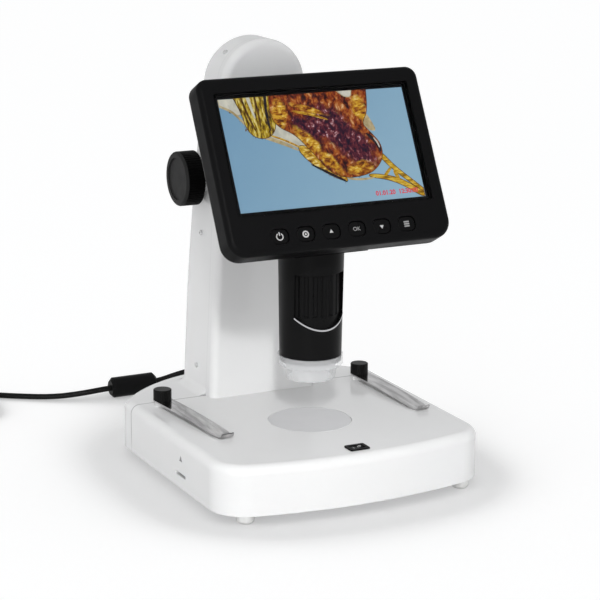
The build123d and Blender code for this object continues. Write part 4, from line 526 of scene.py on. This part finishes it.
# Frosted light plate over the stage lamp.
def makeFrosted():
    material, tree, shader = newMaterial("frostedPlate")
    coordinates = objectPlace(tree)
    cloud = noiseNode(tree, coordinates, discSet["cloud"], "cloud")
    tree.links.new(mixColors(tree, cloud, discSet["color"], discSet["shade"]), shader.inputs["Base Color"])
    shader.inputs["Roughness"].default_value = discSet["rough"]
    shader.inputs["Subsurface Weight"].default_value = discSet["milk"]
    shader.inputs["Subsurface Radius"].default_value = [discSet["depth"] * mm] * 3
    addGrain(tree, shader, coordinates, discSet["grain"], discSet["bump"])
    return material


# A faint tint that comes and goes, and a haze of fine scuffs where there is one.
def tintAndHaze(tree, shader, clear):
    coordinates = objectPlace(tree)
    deeper = tuple(clear["deeper"] * part for part in clear["tint"])
    cloud = noiseNode(tree, coordinates, clear["cloud"], "cloud")
    tree.links.new(mixColors(tree, cloud, clear["tint"], deeper), shader.inputs["Base Color"])
    if "haze" in clear:
        scuff = noiseNode(tree, coordinates, clear["scuff"], "scuff")
        haze = rangeNode(tree, scuff, *clear["scuffRange"], *clear["haze"])
        tree.links.new(haze, shader.inputs["Roughness"])
    else:
        shader.inputs["Roughness"].default_value = 0


# Clear glass or plastic.
def makeClear(name):
    material, tree, shader = newMaterial(name)
    tintAndHaze(tree, shader, clearSet[name])
    shader.inputs["Transmission Weight"].default_value = 1
    shader.inputs["IOR"].default_value = clearSet[name]["bend"]
    shader.inputs["Specular IOR Level"].default_value = clearSet[name]["shine"]
    return material


# Thin clear moulding that catches a little light all over.
def makeMilky():
    material, tree, shader = newMaterial("clearPlastic")
    tintAndHaze(tree, shader, tipSet)
    shader.inputs["Alpha"].default_value = tipSet["cover"]
    return material


nodeFinishes = {
    "whiteShell": ["base_shell", "rear_shell", "column_front"],
    "whiteParts": ["lamp_cup"],
    "mattBlack": [
        "bezel", "monitor_back", "head_housing", "head_cover", "switch_housing", "power_jack", "usb_plug",
        "dc_plug",
    ],
    "tubeBlack": ["tube_housing", "focus_ring", "ferrite_core"],
    "knobBlack": ["knob_left", "knob_right"],
    "clipBlack": ["clip_knob_left", "clip_knob_right"],
    "keyBlack": ["switch_rocker", "key_power", "key_camera", "key_up", "key_ok", "key_down", "key_menu"],
    "cordBlack": ["coil_tie"],
    "footRubber": ["feet"],
    "greenBoard": ["lamp_board", "main_board", "camera_board", "display_board", "key_board"],
    "whiteBoard": ["led_ring"],
    "steel": ["bottom_plate", "card_socket", "pinion_shaft", "hinge_pin", "hinge_bracket"],
    "springSteel": ["clip_leaf_left", "clip_leaf_right"],
    "screwSteel": ["base_screws", "head_screws", "monitor_screws"],
    "palePlate": ["column_screws"],
    "alloy": ["slide_frame", "carriage", "optics_mount", "lens_cell"],
    "brass": ["shaft_bushes", "pinion", "rack"],
    "silverTrim": ["index_trim"],
}


def dress(name, material):
    nodes[name].data.materials.clear()
    nodes[name].data.materials.append(material)


for finishName, names in nodeFinishes.items():
    for name in names:
        dress(name, finishes[finishName])
dress("stage_disc", makeFrosted())
dress("clear_tip", makeMilky())
dress("display_window", makeClear("windowPane"))
dress("lenses", makeClear("lensGlass"))
powerCord.data.materials.append(finishes["cordBlack"])
for node in nodes.values():
    pick(node)
    bpy.ops.object.shade_smooth_by_angle(angle=radians(surfaceSet["smoothAngle"]))
report("materials")

screenSet = {
    "tilt": 27.88,
    "middle": (0, -40.08, 188.42),
    "width": 110.9,
    "height": 62.8,
    "panelLevel": -1.4,
    "layer": 0.03,
    "sheet": 0.02,
    "rim": 0.38,
    "smoothness": 6,
    "margin": 0.05,
    "edgeReach": 1,
    "glow": 0.75,
    "grain": 0.62,
    "color": (0.004, 0.004, 0.005),
    "rough": 0.5,
    "shine": 0.1,
}
halfWidth, halfHeight = screenSet["width"] / 2, screenSet["height"] / 2
edge = halfHeight - screenSet["margin"]


def screenMatrix():
    tilt = radians(screenSet["tilt"])
    across = Vector((1, 0, 0))
    up = Vector((0, sin(tilt), cos(tilt)))
    out = Vector((0, -cos(tilt), sin(tilt)))
    turn = Matrix((across, up, out)).transposed().to_4x4()
    return Matrix.Translation(Vector(screenSet["middle"]) * mm) @ turn


# The level of a layer of the picture, counted up from the panel.
def layerLevel(layer):
    return screenSet["panelLevel"] + layer * screenSet["layer"]


# Makes a flat curve a mesh, moves it onto the display's own plane and leaves the place in its mesh.
def layOnScreen(piece, level):
    piece.location.z = level * mm
    pick(piece)
    bpy.ops.object.convert(target="MESH")
    piece.matrix_world = screenMatrix() @ piece.matrix_world
    pick(piece)
    settle()
    return piece


def newFlatCurve(name, thick):
    data = bpy.data.curves.new(name, "CURVE")
    data.dimensions = "2D"
    data.fill_mode = "BOTH"
    data.extrude = thick * mm
    return data


def addOutline(data, kind, outline):
    spline = data.splines.new(kind)
    spline.points.add(len(outline) - 1)
    for place, (x, y) in zip(spline.points, outline):
        place.co = (x * mm, y * mm, 0, 1)
    spline.use_cyclic_u = True
    return spline


# A flat shape from one closed outline, in millimetres on the display's plane. A point on the picture's
# edge is given twice, and the curve then runs right through it.
def flatShape(name, outline, level, smooth=True, grow=0):
    thick = screenSet["sheet"]
    data = newFlatCurve(name, thick / 2)
    data.offset = grow * mm
    if smooth:
        points = []
        for x, y in outline:
            onEdge = abs(x) > halfWidth - screenSet["edgeReach"] or y > halfHeight - screenSet["edgeReach"]
            points += [(x, y), (x, y)] if onEdge else [(x, y)]
        spline = addOutline(data, "NURBS", points)
        spline.order_u = 3
        spline.resolution_u = screenSet["smoothness"]
    else:
        addOutline(data, "POLY", outline)
    return layOnScreen(addToScene(name, data), level + thick / 2)


# A mottle of the given colours, drawn out along a direction.
def mottle(tree, coordinates, light):
    mapping = tree.nodes.new("ShaderNodeMapping")
    mapping.inputs["Scale"].default_value = light.get("stretch", (1, 1, 1))
    mapping.inputs["Rotation"].default_value = (0, light.get("turn", 0), 0)
    tree.links.new(coordinates, mapping.inputs["Vector"])
    noise = tree.nodes.new("ShaderNodeTexNoise")
    noise.inputs["Scale"].default_value = light["scale"]
    noise.inputs["Detail"].default_value = light["detail"]
    noise.inputs["Roughness"].default_value = screenSet["grain"]
    noise.inputs["Distortion"].default_value = light.get("warp", 0)
    tree.links.new(mapping.outputs["Vector"], noise.inputs["Vector"])
    colors = tree.nodes.new("ShaderNodeValToRGB")
    while len(colors.color_ramp.elements) < len(light["ramp"]):
        colors.color_ramp.elements.new(0.5)
    for element, (place, color) in zip(colors.color_ramp.elements, light["ramp"]):
        element.position = place
        element.color = (*color, 1)
    tree.links.new(noise.outputs["Fac"], colors.inputs["Fac"])
    return colors.outputs["Color"]


# A surface that shines by itself over a dark panel.
def lightUp(material, tree, shader, color, glow):
    shader.inputs["Base Color"].default_value = (*screenSet["color"], 1)
    shader.inputs["Roughness"].default_value = screenSet["rough"]
    shader.inputs["Specular IOR Level"].default_value = screenSet["shine"]
    tree.links.new(color, shader.inputs["Emission Color"])
    shader.inputs["Emission Strength"].default_value = glow
    return material


lightSet = {
    "pictureAmber": {
        "ramp": [
            (0.32, (0.1, 0.03, 0.004)), (0.44, (0.42, 0.18, 0.01)), (0.56, (0.74, 0.48, 0.03)),
            (0.7, (0.94, 0.82, 0.4)),
        ],
        "scale": 420, "detail": 5, "stretch": (0.7, 1, 1.8), "turn": 0.7, "warp": 0.4,
    },
    "pictureBundle": {
        "ramp": [
            (0.36, (0.03, 0.016, 0.004)), (0.44, (0.24, 0.13, 0.008)), (0.53, (0.62, 0.44, 0.02)),
            (0.66, (0.86, 0.78, 0.34)),
        ],
        "scale": 330, "detail": 5, "stretch": (2.6, 1, 0.35), "turn": 0.12, "warp": 0.2,
    },
    "pictureLeg": {
        "ramp": [
            (0.32, (0.2, 0.09, 0.006)), (0.48, (0.6, 0.34, 0.015)), (0.66, (0.9, 0.68, 0.12)),
        ],
        "scale": 330, "detail": 4, "stretch": (0.5, 1, 2.2), "turn": 0.8, "warp": 0.3,
    },
    "picturePale": {
        "ramp": [
            (0.3, (0.46, 0.47, 0.42)), (0.7, (0.8, 0.78, 0.66)),
        ],
        "scale": 150, "detail": 4, "stretch": (1, 1, 1), "turn": 0.5, "warp": 0.3,
    },
    "pictureTan": {
        "ramp": [
            (0.3, (0.36, 0.27, 0.12)), (0.7, (0.66, 0.56, 0.34)),
        ],
        "scale": 300, "detail": 3,
    },
    "pictureDark": {
        "ramp": [
            (0.3, (0.004, 0.005, 0.012)), (0.7, (0.026, 0.018, 0.022)),
        ],
        "scale": 300, "detail": 3,
    },
    "pictureRim": {
        "ramp": [
            (0.35, (0.03, 0.01, 0.004)), (0.65, (0.2, 0.09, 0.012)),
        ],
        "scale": 420, "detail": 3,
    },
    "pictureTime": {
        "ramp": [
            (0.4, (0.78, 0.03, 0.07)), (0.6, (0.88, 0.1, 0.14)),
        ],
        "scale": 900, "detail": 2,
    },
    "panelFrame": {
        "ramp": [
            (0.4, (0.0, 0.0, 0.0)), (0.6, (0.001, 0.001, 0.001)),
        ],
        "scale": 200, "detail": 2, "glow": 0.2,
    },
}


def litMaterial(name):
    material, tree, shader = newMaterial(name)
    color = mottle(tree, objectPlace(tree), lightSet[name])
    return lightUp(material, tree, shader, color, lightSet[name].get("glow", screenSet["glow"]))


# A round patch in the picture, as a factor with a ragged edge. Middle and reach are on the display, in mm.
def patchFactor(tree, coordinates, middle, reach, turn, ragged):
    mapping = tree.nodes.new("ShaderNodeMapping")
    mapping.vector_type = "TEXTURE"
    rise = cos(radians(screenSet["tilt"]))
    across, up = middle
    mapping.inputs["Location"].default_value = (
        across * mm, (screenSet["middle"][1] + up * sin(radians(screenSet["tilt"]))) * mm,
        (screenSet["middle"][2] + up * rise) * mm)
    mapping.inputs["Rotation"].default_value = (0, turn, 0)
    mapping.inputs["Scale"].default_value = (reach[0] * mm, 1, reach[1] * rise * mm)
    tree.links.new(coordinates, mapping.inputs["Vector"])
    ball = tree.nodes.new("ShaderNodeTexGradient")
    ball.gradient_type = "SPHERICAL"
    tree.links.new(mapping.outputs["Vector"], ball.inputs["Vector"])
    rough = noiseNode(tree, coordinates, bodySet["ragged"], "ragged")
    rough = mathNode(tree, "MULTIPLY", rough, ragged)
    low, high = bodySet["patchFrom"] + ragged / 2, bodySet["patchTo"] + ragged / 2
    return rangeNode(tree, mathNode(tree, "ADD", ball.outputs["Fac"], rough), low, high, 0, 1)


# A patch is its middle, its reach, its turn and how ragged its edge is.
bodySet = {
    "amber": {
        "ramp": [
            (0.34, (0.05, 0.01, 0.003)), (0.43, (0.3, 0.075, 0.006)), (0.5, (0.56, 0.24, 0.012)),
            (0.58, (0.8, 0.5, 0.04)), (0.7, (0.95, 0.82, 0.4)),
        ],
        "scale": 280, "detail": 4, "stretch": (0.8, 1, 1.5), "turn": 0.75, "warp": 0.4,
    },
    "rust": {
        "ramp": [
            (0.34, (0.016, 0.003, 0.004)), (0.44, (0.12, 0.016, 0.006)), (0.51, (0.3, 0.045, 0.007)),
            (0.6, (0.5, 0.15, 0.02)), (0.72, (0.86, 0.58, 0.28)),
        ],
        "scale": 300, "detail": 4, "stretch": (1.2, 1, 0.8), "turn": 0.6, "warp": 0.4,
    },
    "maroon": {
        "ramp": [
            (0.34, (0.006, 0.003, 0.016)), (0.46, (0.04, 0.005, 0.02)), (0.54, (0.12, 0.014, 0.026)),
            (0.61, (0.26, 0.06, 0.07)), (0.7, (0.8, 0.6, 0.66)),
        ],
        "scale": 380, "detail": 4, "stretch": (1.2, 1, 0.9), "turn": 0.5, "warp": 0.4,
    },
    "darkPatches": [
        ((9, 10), (28, 16), 0.6, 0.8), ((20, -1), (20, 14), 0.75, 0.7), ((-9, 12), (13, 7), 0.7, 0.9),
    ],
    "lightPatches": [
        ((-22, 21), (7, 13), 0.1, 0.8), ((-9, 5), (15, 6), 0.85, 0.9), ((3, -9), (12, 5), 0.8, 0.9),
        ((20, -13), (11, 6), -0.15, 0.9), ((26, 21), (6, 12), -0.3, 0.9),
        ((-4, 22), (15, 2.6), 0.3, 1.0),
    ],
    "ragged": 130,
    "patchFrom": 0.25,
    "patchTo": 0.5,
}


# The body: rust, dark maroon along the middle and amber towards the rim.
def makeBodyLight():
    material, tree, shader = newMaterial("pictureBody")
    coordinates = objectPlace(tree)
    color = mottle(tree, coordinates, bodySet["rust"])
    maroon = mottle(tree, coordinates, bodySet["maroon"])
    amber = mottle(tree, coordinates, bodySet["amber"])
    for patch in bodySet["darkPatches"]:
        color = mixColors(tree, patchFactor(tree, coordinates, *patch), color, maroon)
    for patch in bodySet["lightPatches"]:
        color = mixColors(tree, patchFactor(tree, coordinates, *patch), color, amber)
    return lightUp(material, tree, shader, color, screenSet["glow"])


# A fade runs between two places, and the third number is its share of the mix.
groundSet = {
    "left": (0.185, 0.370, 0.560),
    "right": (0.330, 0.540, 0.700),
    "across": (-60, 60, 0.65),
    "height": (160, 215, 0.35),
    "cloud": 30,
    "cloudShare": 0.2,
}


# The lit ground of the picture, paler to the right and at the bottom.
def makeGroundLight():
    material, tree, shader = newMaterial("pictureGround")
    coordinates = objectPlace(tree)
    left, right, share = groundSet["across"]
    side = rangeNode(tree, axisNode(tree, coordinates, "X"), left * mm, right * mm, 0, share)
    bottom, top, share = groundSet["height"]
    low = rangeNode(tree, axisNode(tree, coordinates, "Z"), bottom * mm, top * mm, share, 0)
    cloud = noiseNode(tree, coordinates, groundSet["cloud"], "cloud")
    cloud = mathNode(tree, "MULTIPLY", cloud, groundSet["cloudShare"])
    both = mathNode(tree, "ADD", mathNode(tree, "ADD", side, low), cloud)
    color = mixColors(tree, both, groundSet["left"], groundSet["right"])
    return lightUp(material, tree, shader, color, screenSet["glow"])


lights = {name: litMaterial(name) for name in lightSet}
lights["pictureBody"] = makeBodyLight()
lights["pictureGround"] = makeGroundLight()
dress("lcd_panel", lights["panelFrame"])


def ride(piece, body, material):
    piece.data.materials.clear()
    piece.data.materials.append(material)
    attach(piece, body)
    return piece


def screenPiece(name, outline, layer, light, smooth=True, grow=0):
    piece = flatShape(name, outline, layerLevel(layer), smooth, grow)
    return ride(piece, "monitor", lights[light])


# Each shape of the picture: its light, the light of its rim if it has one, and its outline.
specimenSet = {
    "Wing": ("picturePale", "pictureTan", [
        (-55, edge), (-44, edge), (-42.4, 22.5), (-46.5, 22.2), (-51, 25.4), (-55, 27.3),
    ]),
    "WingEdge": ("pictureTan", None, [
        (-55, 27.5), (-48.2, 23.4), (-41, 13.6), (-40.2, 14.6), (-47, 24.4), (-55, 28.3),
    ]),
    "Strip": ("picturePale", "pictureTan", [
        (-29.5, 19.5), (-24.5, 17), (-16, 10.5), (-8.5, 3.2), (-12, 0.2), (-22, 5.6), (-32, 9.6),
    ]),
    "StripEdge": ("pictureTan", None, [
        (-36.5, 10.6), (-27, 7.7), (-13, -0.2), (-12.4, -1.3), (-24, 4.1), (-36, 9.2),
    ]),
    "StripLine": ("pictureAmber", None, [
        (-30, 10.4), (-21, 6.9), (-9, -0.4), (-9, -1.3), (-21, 5.6), (-30, 9.4),
    ]),
    "Veil": ("pictureTan", None, [
        (24, 22), (29.5, 20), (34, 9.5), (33.4, 7.2), (28, 9),
    ]),
    "LegFar": ("pictureLeg", "pictureRim", [
        (31.8, -3.6), (34.2, -4.6), (40.8, -13.4), (48, -20.2), (54.8, -26.8), (54.8, -29), (46.8, -22),
        (39.2, -15), (32.4, -6.8),
    ]),
    "LegNear": ("pictureLeg", "pictureRim", [
        (24, -16.2), (35, -17.8), (44, -21.2), (54.8, -29), (54.8, -31), (52.8, -31), (42.6, -23.6),
        (33.6, -19.8), (24, -18),
    ]),
    "Knee": ("pictureLeg", None, [
        (38.4, -15.4), (40.4, -14.8), (42.6, -20.6), (40.4, -21.6),
    ]),
    "Spur": ("pictureLeg", None, [
        (32, -17.8), (37.8, -12.8), (38.8, -13.8), (34, -18.8),
    ]),
    "Bundle": ("pictureBundle", "pictureRim", [
        (-46.2, edge), (-21, edge), (-24, 20), (-26.2, 11.2), (-32, 7.8), (-38.6, 9.2), (-42.2, 14),
        (-43.4, 23),
    ]),
    "FibreLeft": ("pictureRim", None, [
        (-42.6, edge), (-41.4, edge), (-39.6, 22), (-36.6, 12), (-37.6, 12), (-41, 22),
    ]),
    "FibreMid": ("pictureRim", None, [
        (-34.8, edge), (-33.6, edge), (-33.2, 21), (-33.6, 14), (-34.4, 14), (-34.4, 21),
    ]),
    "FibreRight": ("pictureDark", None, [
        (-29, edge), (-27.2, edge), (-28.6, 22), (-28.2, 12), (-29.2, 12), (-30, 22),
    ]),
    "FibrePale": ("picturePale", None, [
        (-39.4, edge), (-37.2, edge), (-36.4, 24), (-35.8, 19), (-37, 20), (-38, 25),
    ]),
    "Tail": ("pictureAmber", "pictureRim", [
        (-15, 2.6), (-10, 2.2), (-3.6, -2.6), (3.8, -10), (10.8, -18.4), (9.2, -19.5), (0, -14.6),
        (-8, -8.6), (-13.6, -2.4),
    ]),
    "TailLine": ("pictureDark", None, [
        (-9.2, -7.8), (0.4, -13.2), (10.2, -19.2), (9.6, -20.2), (0, -14.6), (-9.6, -8.8),
    ]),
    "Body": ("pictureBody", "pictureRim", [
        (-26, edge), (32.6, edge), (31.6, 24), (30, 17.6), (25.6, 12.2), (30.2, 6.6), (35, -0.4),
        (34, -8.6), (27, -15.2), (18, -17.2), (8.6, -17.2), (0.4, -12.8), (-4.6, -5), (-10.6, 3.4),
        (-15.6, 9.4), (-23.6, 13.6), (-27.2, 20),
    ]),
    "Fork": ("picturePale", "pictureTan", [
        (15.6, edge), (23.6, edge), (22.6, 27.6), (18.6, 28.2),
    ]),
    "FoldOne": ("pictureAmber", None, [
        (-14, 22.6), (-4, 20.6), (6, 16.4), (6.4, 15.2), (-4, 18.8), (-14, 21.2),
    ]),
    "Gloss": ("pictureDark", None, [
        (26.2, 7.2), (30.4, 5.4), (34.2, -0.6), (34.4, -4.6), (32.8, -4.4), (31.6, 0), (28.4, 3.8),
    ]),
    "Shine": ("picturePale", None, [
        (31.2, 4.2), (33.4, 0.6), (33.8, -2.2), (33.2, -2.2), (32.4, 0.8), (30.8, 3.4),
    ]),
    "Lip": ("pictureTan", None, [
        (10, -17.2), (18, -18.6), (26.6, -18.2), (26.4, -19.2), (18, -19.8), (10, -18.4),
    ]),
}
# The end gap keeps the root of a bristle off the last point of its line. It is a share of one stretch.
bristleSet = {
    "layer": 2, "thick": 0.008, "half": 0.14, "lean": 0.9, "shortest": 0.4, "endGap": 0.001,
}
# Bristles: the line that they stand on, how many, and how far they reach.
hairSet = {
    "HairBody": ([
        (-10.6, 3.4), (-4.6, -5), (0.4, -12.2), (8.6, -16.8), (18, -17), (27, -14.8), (33.6, -8.4),
        (34.4, -0.6), (30, 6.2), (26, 12), (29.6, 17.6), (31.2, 25),
    ], 90, 1.7),
    "HairTail": ([
        (-14.4, 1), (-8, -8.2), (0, -14.2), (9.4, -19.4),
    ], 40, 1.5),
    "HairFar": ([
        (34.6, -5), (41, -13.6), (48.2, -20.2), (54, -26),
    ], 40, 1.3),
    "HairNear": ([
        (52.6, -30.6), (42.6, -23.4), (33.6, -19.6), (26, -18),
    ], 34, 1.3),
    "HairBundle": ([
        (-43.2, 23), (-42, 14), (-38.6, 9.6), (-32, 8.2), (-26.4, 11.4),
    ], 34, 1.5),
    "HairWing": ([
        (-54, 27.8), (-48.2, 23.6), (-41, 14),
    ], 20, 1.1),
}
chance = random.Random(7)


# Fine bristles that stand out from a line, as one flat mesh of thin spikes.
def bristles(name, path, count, reach):
    data = newFlatCurve(name, bristleSet["thick"])
    lastStep = len(path) - 1 - bristleSet["endGap"]
    for spot in range(count):
        step = chance.uniform(0, lastStep)
        start, end = Vector(path[int(step)]), Vector(path[int(step) + 1])
        root = start.lerp(end, step % 1)
        along = (end - start).normalized()
        out = Vector((along.y, -along.x))
        lean = along * chance.uniform(-bristleSet["lean"], bristleSet["lean"])
        tip = root + (out + lean) * reach * chance.uniform(bristleSet["shortest"], 1)
        half = along * bristleSet["half"]
        addOutline(data, "POLY", [root - half, root + half, tip])
    piece = layOnScreen(addToScene(name, data), layerLevel(bristleSet["layer"]))
    return ride(piece, "monitor", lights["pictureRim"])


corners = [
    (-halfWidth, -halfHeight), (halfWidth, -halfHeight), (halfWidth, halfHeight), (-halfWidth, halfHeight),
]
screenPiece("pictureGround", corners, 1, "pictureGround", False)
layer = 2
rimWidth = screenSet["rim"]
for name, (light, rim, outline) in specimenSet.items():
    if rim:
        inside = [(max(x, rimWidth - halfWidth), min(y, edge - rimWidth)) for x, y in outline]
        screenPiece("pictureRim" + name, inside, layer, rim, True, rimWidth)
        layer += 1
    screenPiece("picture" + name, outline, layer, light)
    layer += 1
for name, (path, count, reach) in hairSet.items():
    bristles("picture" + name, path, count, reach)
report("picture on the display")


markSet = {"roundSides": 40, "ringSides": 48, "cornerShare": 0.3, "cornerSteps": 3}


# Joins flat marks, gives them a thickness and puts them on a plane, with their back on it.
def finishMark(parts, name, place, thick, body, material):
    deselectAll()
    for part in parts:
        part.select_set(True)
    mark = parts[0]
    bpy.context.view_layer.objects.active = mark
    bpy.ops.object.convert(target="MESH")
    if len(parts) > 1:
        bpy.ops.object.join()
    settle()
    mark.name = name
    solid = mark.modifiers.new("thickness", "SOLIDIFY")
    solid.thickness = thick * mm
    solid.offset = 1
    bpy.ops.object.modifier_apply(modifier=solid.name)
    mark.matrix_world = place
    settle()
    return ride(mark, body, material)


def roundMark(radius, corners=markSet["roundSides"], turn=0):
    deselectAll()
    bpy.ops.mesh.primitive_circle_add(
        vertices=corners, radius=radius * mm, fill_type="NGON", location=(0, 0, 0), rotation=(0, 0, turn))
    return bpy.context.object


# A flat ring: an edge loop extruded inwards, with an optional gap at the top.
def ringMark(radius, width, gap=0):
    deselectAll()
    bpy.ops.mesh.primitive_circle_add(
        vertices=markSet["ringSides"], radius=radius * mm, fill_type="NOTHING")
    ring = bpy.context.object
    bpy.ops.object.mode_set(mode="EDIT")
    bpy.ops.mesh.select_mode(type="VERT")
    bpy.ops.mesh.select_all(action="SELECT")
    bpy.ops.mesh.extrude_region_move()
    shrink = (radius - width) / radius
    bpy.ops.transform.resize(value=(shrink, shrink, 1))
    bpy.ops.object.mode_set(mode="OBJECT")
    for face in ring.data.polygons:
        face.select = gap > 0 and abs(face.center.x) < gap / 2 * mm and face.center.y > 0
    bpy.ops.object.mode_set(mode="EDIT")
    if gap:
        bpy.ops.mesh.select_mode(type="FACE")
        bpy.ops.mesh.delete(type="FACE")
    bpy.ops.mesh.select_all(action="SELECT")
    bpy.ops.mesh.normals_make_consistent(inside=False)
    bpy.ops.object.mode_set(mode="OBJECT")
    if ring.data.polygons[0].normal.z < 0:
        ring.data.flip_normals()
    return ring


# A bar with its corners bevelled round.
def barMark(width, height, y=0):
    deselectAll()
    bpy.ops.mesh.primitive_plane_add(size=1, location=(0, y * mm, 0))
    bar = bpy.context.object
    bar.scale = (width * mm, height * mm, 1)
    bpy.ops.object.transform_apply(location=False, rotation=False, scale=True)
    bpy.ops.object.mode_set(mode="EDIT")
    bpy.ops.mesh.select_mode(type="VERT")
    bpy.ops.mesh.select_all(action="SELECT")
    corner = min(width, height) * markSet["cornerShare"] * mm
    bpy.ops.mesh.bevel(offset=corner, segments=markSet["cornerSteps"], affect="VERTICES")
    bpy.ops.object.mode_set(mode="OBJECT")
    return bar


def wordMark(word, size, bold=0):
    deselectAll()
    bpy.ops.object.text_add(location=(0, 0, 0))
    text = bpy.context.object
    text.data.body = word
    text.data.size = size * mm
    text.data.offset = bold * mm
    text.data.align_x = "CENTER"
    text.data.align_y = "CENTER"
    return text


def planeMatrix(origin, across, up):
    across, up = Vector(across).normalized(), Vector(up).normalized()
    turn = Matrix((across, up, across.cross(up))).transposed().to_4x4()
    return Matrix.Translation(Vector(origin) * mm) @ turn


inkSet = {
    "markWhite": (0.62, 0.62, 0.62),
    "markGrey": (0.34, 0.34, 0.34),
    "markDark": (0.22, 0.22, 0.22),
    "shade": 0.85,
    "rough": 0.45,
    "shine": 0.2,
    "cloud": 900,
}


def markInk(name):
    material, tree, shader = newMaterial(name)
    shade = tuple(inkSet["shade"] * part for part in inkSet[name])
    cloud = noiseNode(tree, objectPlace(tree), inkSet["cloud"], "cloud")
    tree.links.new(mixColors(tree, cloud, inkSet[name], shade), shader.inputs["Base Color"])
    shader.inputs["Roughness"].default_value = inkSet["rough"]
    shader.inputs["Specular IOR Level"].default_value = inkSet["shine"]
    return material


brightInk, softInk, darkInk = markInk("markWhite"), markInk("markGrey"), markInk("markDark")
keySet = {
    "spots": {"power": -37, "camera": -21.8, "up": -6.6, "ok": 8.6, "down": 23.8, "menu": 39},
    "row": -46.3,
    "level": 0.5,
    "thick": 0.03,
}
keyMarks = {
    "power": ([ringMark(2.1, 0.55, gap=1.7), barMark(0.6, 2.0, y=1.5)], brightInk),
    "camera": ([ringMark(1.9, 0.75), roundMark(0.55)], brightInk),
    "up": ([roundMark(1.3, corners=3)], brightInk),
    "ok": ([wordMark("OK", 3.0)], softInk),
    "down": ([roundMark(1.3, corners=3, turn=pi)], brightInk),
    "menu": ([barMark(3.2, 0.8, y=1.2), barMark(3.2, 0.8), barMark(3.2, 0.8, y=-1.2)], softInk),
}
for key, (parts, ink) in keyMarks.items():
    spot = Matrix.Translation(Vector((keySet["spots"][key], keySet["row"], keySet["level"])) * mm)
    body = "key_" + key + "_cap"
    finishMark(parts, "mark_" + key, screenMatrix() @ spot, keySet["thick"], body, ink)

timeSet = {"x": 38.0, "y": -27.8, "size": 3.5, "words": "01.01.20  12:30:00", "layer": 38, "bold": 0.11}
timeSpot = Vector((timeSet["x"], timeSet["y"], layerLevel(timeSet["layer"]))) * mm
timeWords = wordMark(timeSet["words"], timeSet["size"], timeSet["bold"])
finishMark([timeWords], "pictureTime", screenMatrix() @ Matrix.Translation(timeSpot), screenSet["sheet"],
           "monitor", lights["pictureTime"])

rockerSet = {
    "pivot": (0, -81.9, 28.2), "tilt": 6.0, "slope": 10.9, "out": 1.6, "rise": 4.8,
    "bar": (0.45, 2.0), "ring": (0.95, 0.4), "thick": 0.05,
}


# Place of a mark on one half of the rocker's dished top.
def rockerPlace(side):
    tilt = radians(rockerSet["tilt"])
    lean = tilt + side * radians(rockerSet["slope"])
    pivot = Vector(rockerSet["pivot"])
    out = Vector((cos(tilt), 0, sin(tilt))) * side * rockerSet["out"]
    rise = Vector((-sin(tilt), 0, cos(tilt))) * rockerSet["rise"]
    return planeMatrix(pivot + out + rise, (cos(lean), 0, sin(lean)), (0, 1, 0))


rockerMarks = {"mark_on": (barMark(*rockerSet["bar"]), -1), "mark_off": (ringMark(*rockerSet["ring"]), 1)}
for name, (shape, side) in rockerMarks.items():
    finishMark([shape], name, rockerPlace(side), rockerSet["thick"], "rocker", brightInk)

cardSet = {"place": (-80.15, -29.4, 21.4), "radius": 2.2, "thick": 0.03}
cardPlace = planeMatrix(cardSet["place"], (0, -1, 0), (0, 0, 1))
finishMark([roundMark(cardSet["radius"], corners=3)], "mark_card", cardPlace, cardSet["thick"], "base",
           darkInk)
report("marks")

bpy.context.view_layer.update()
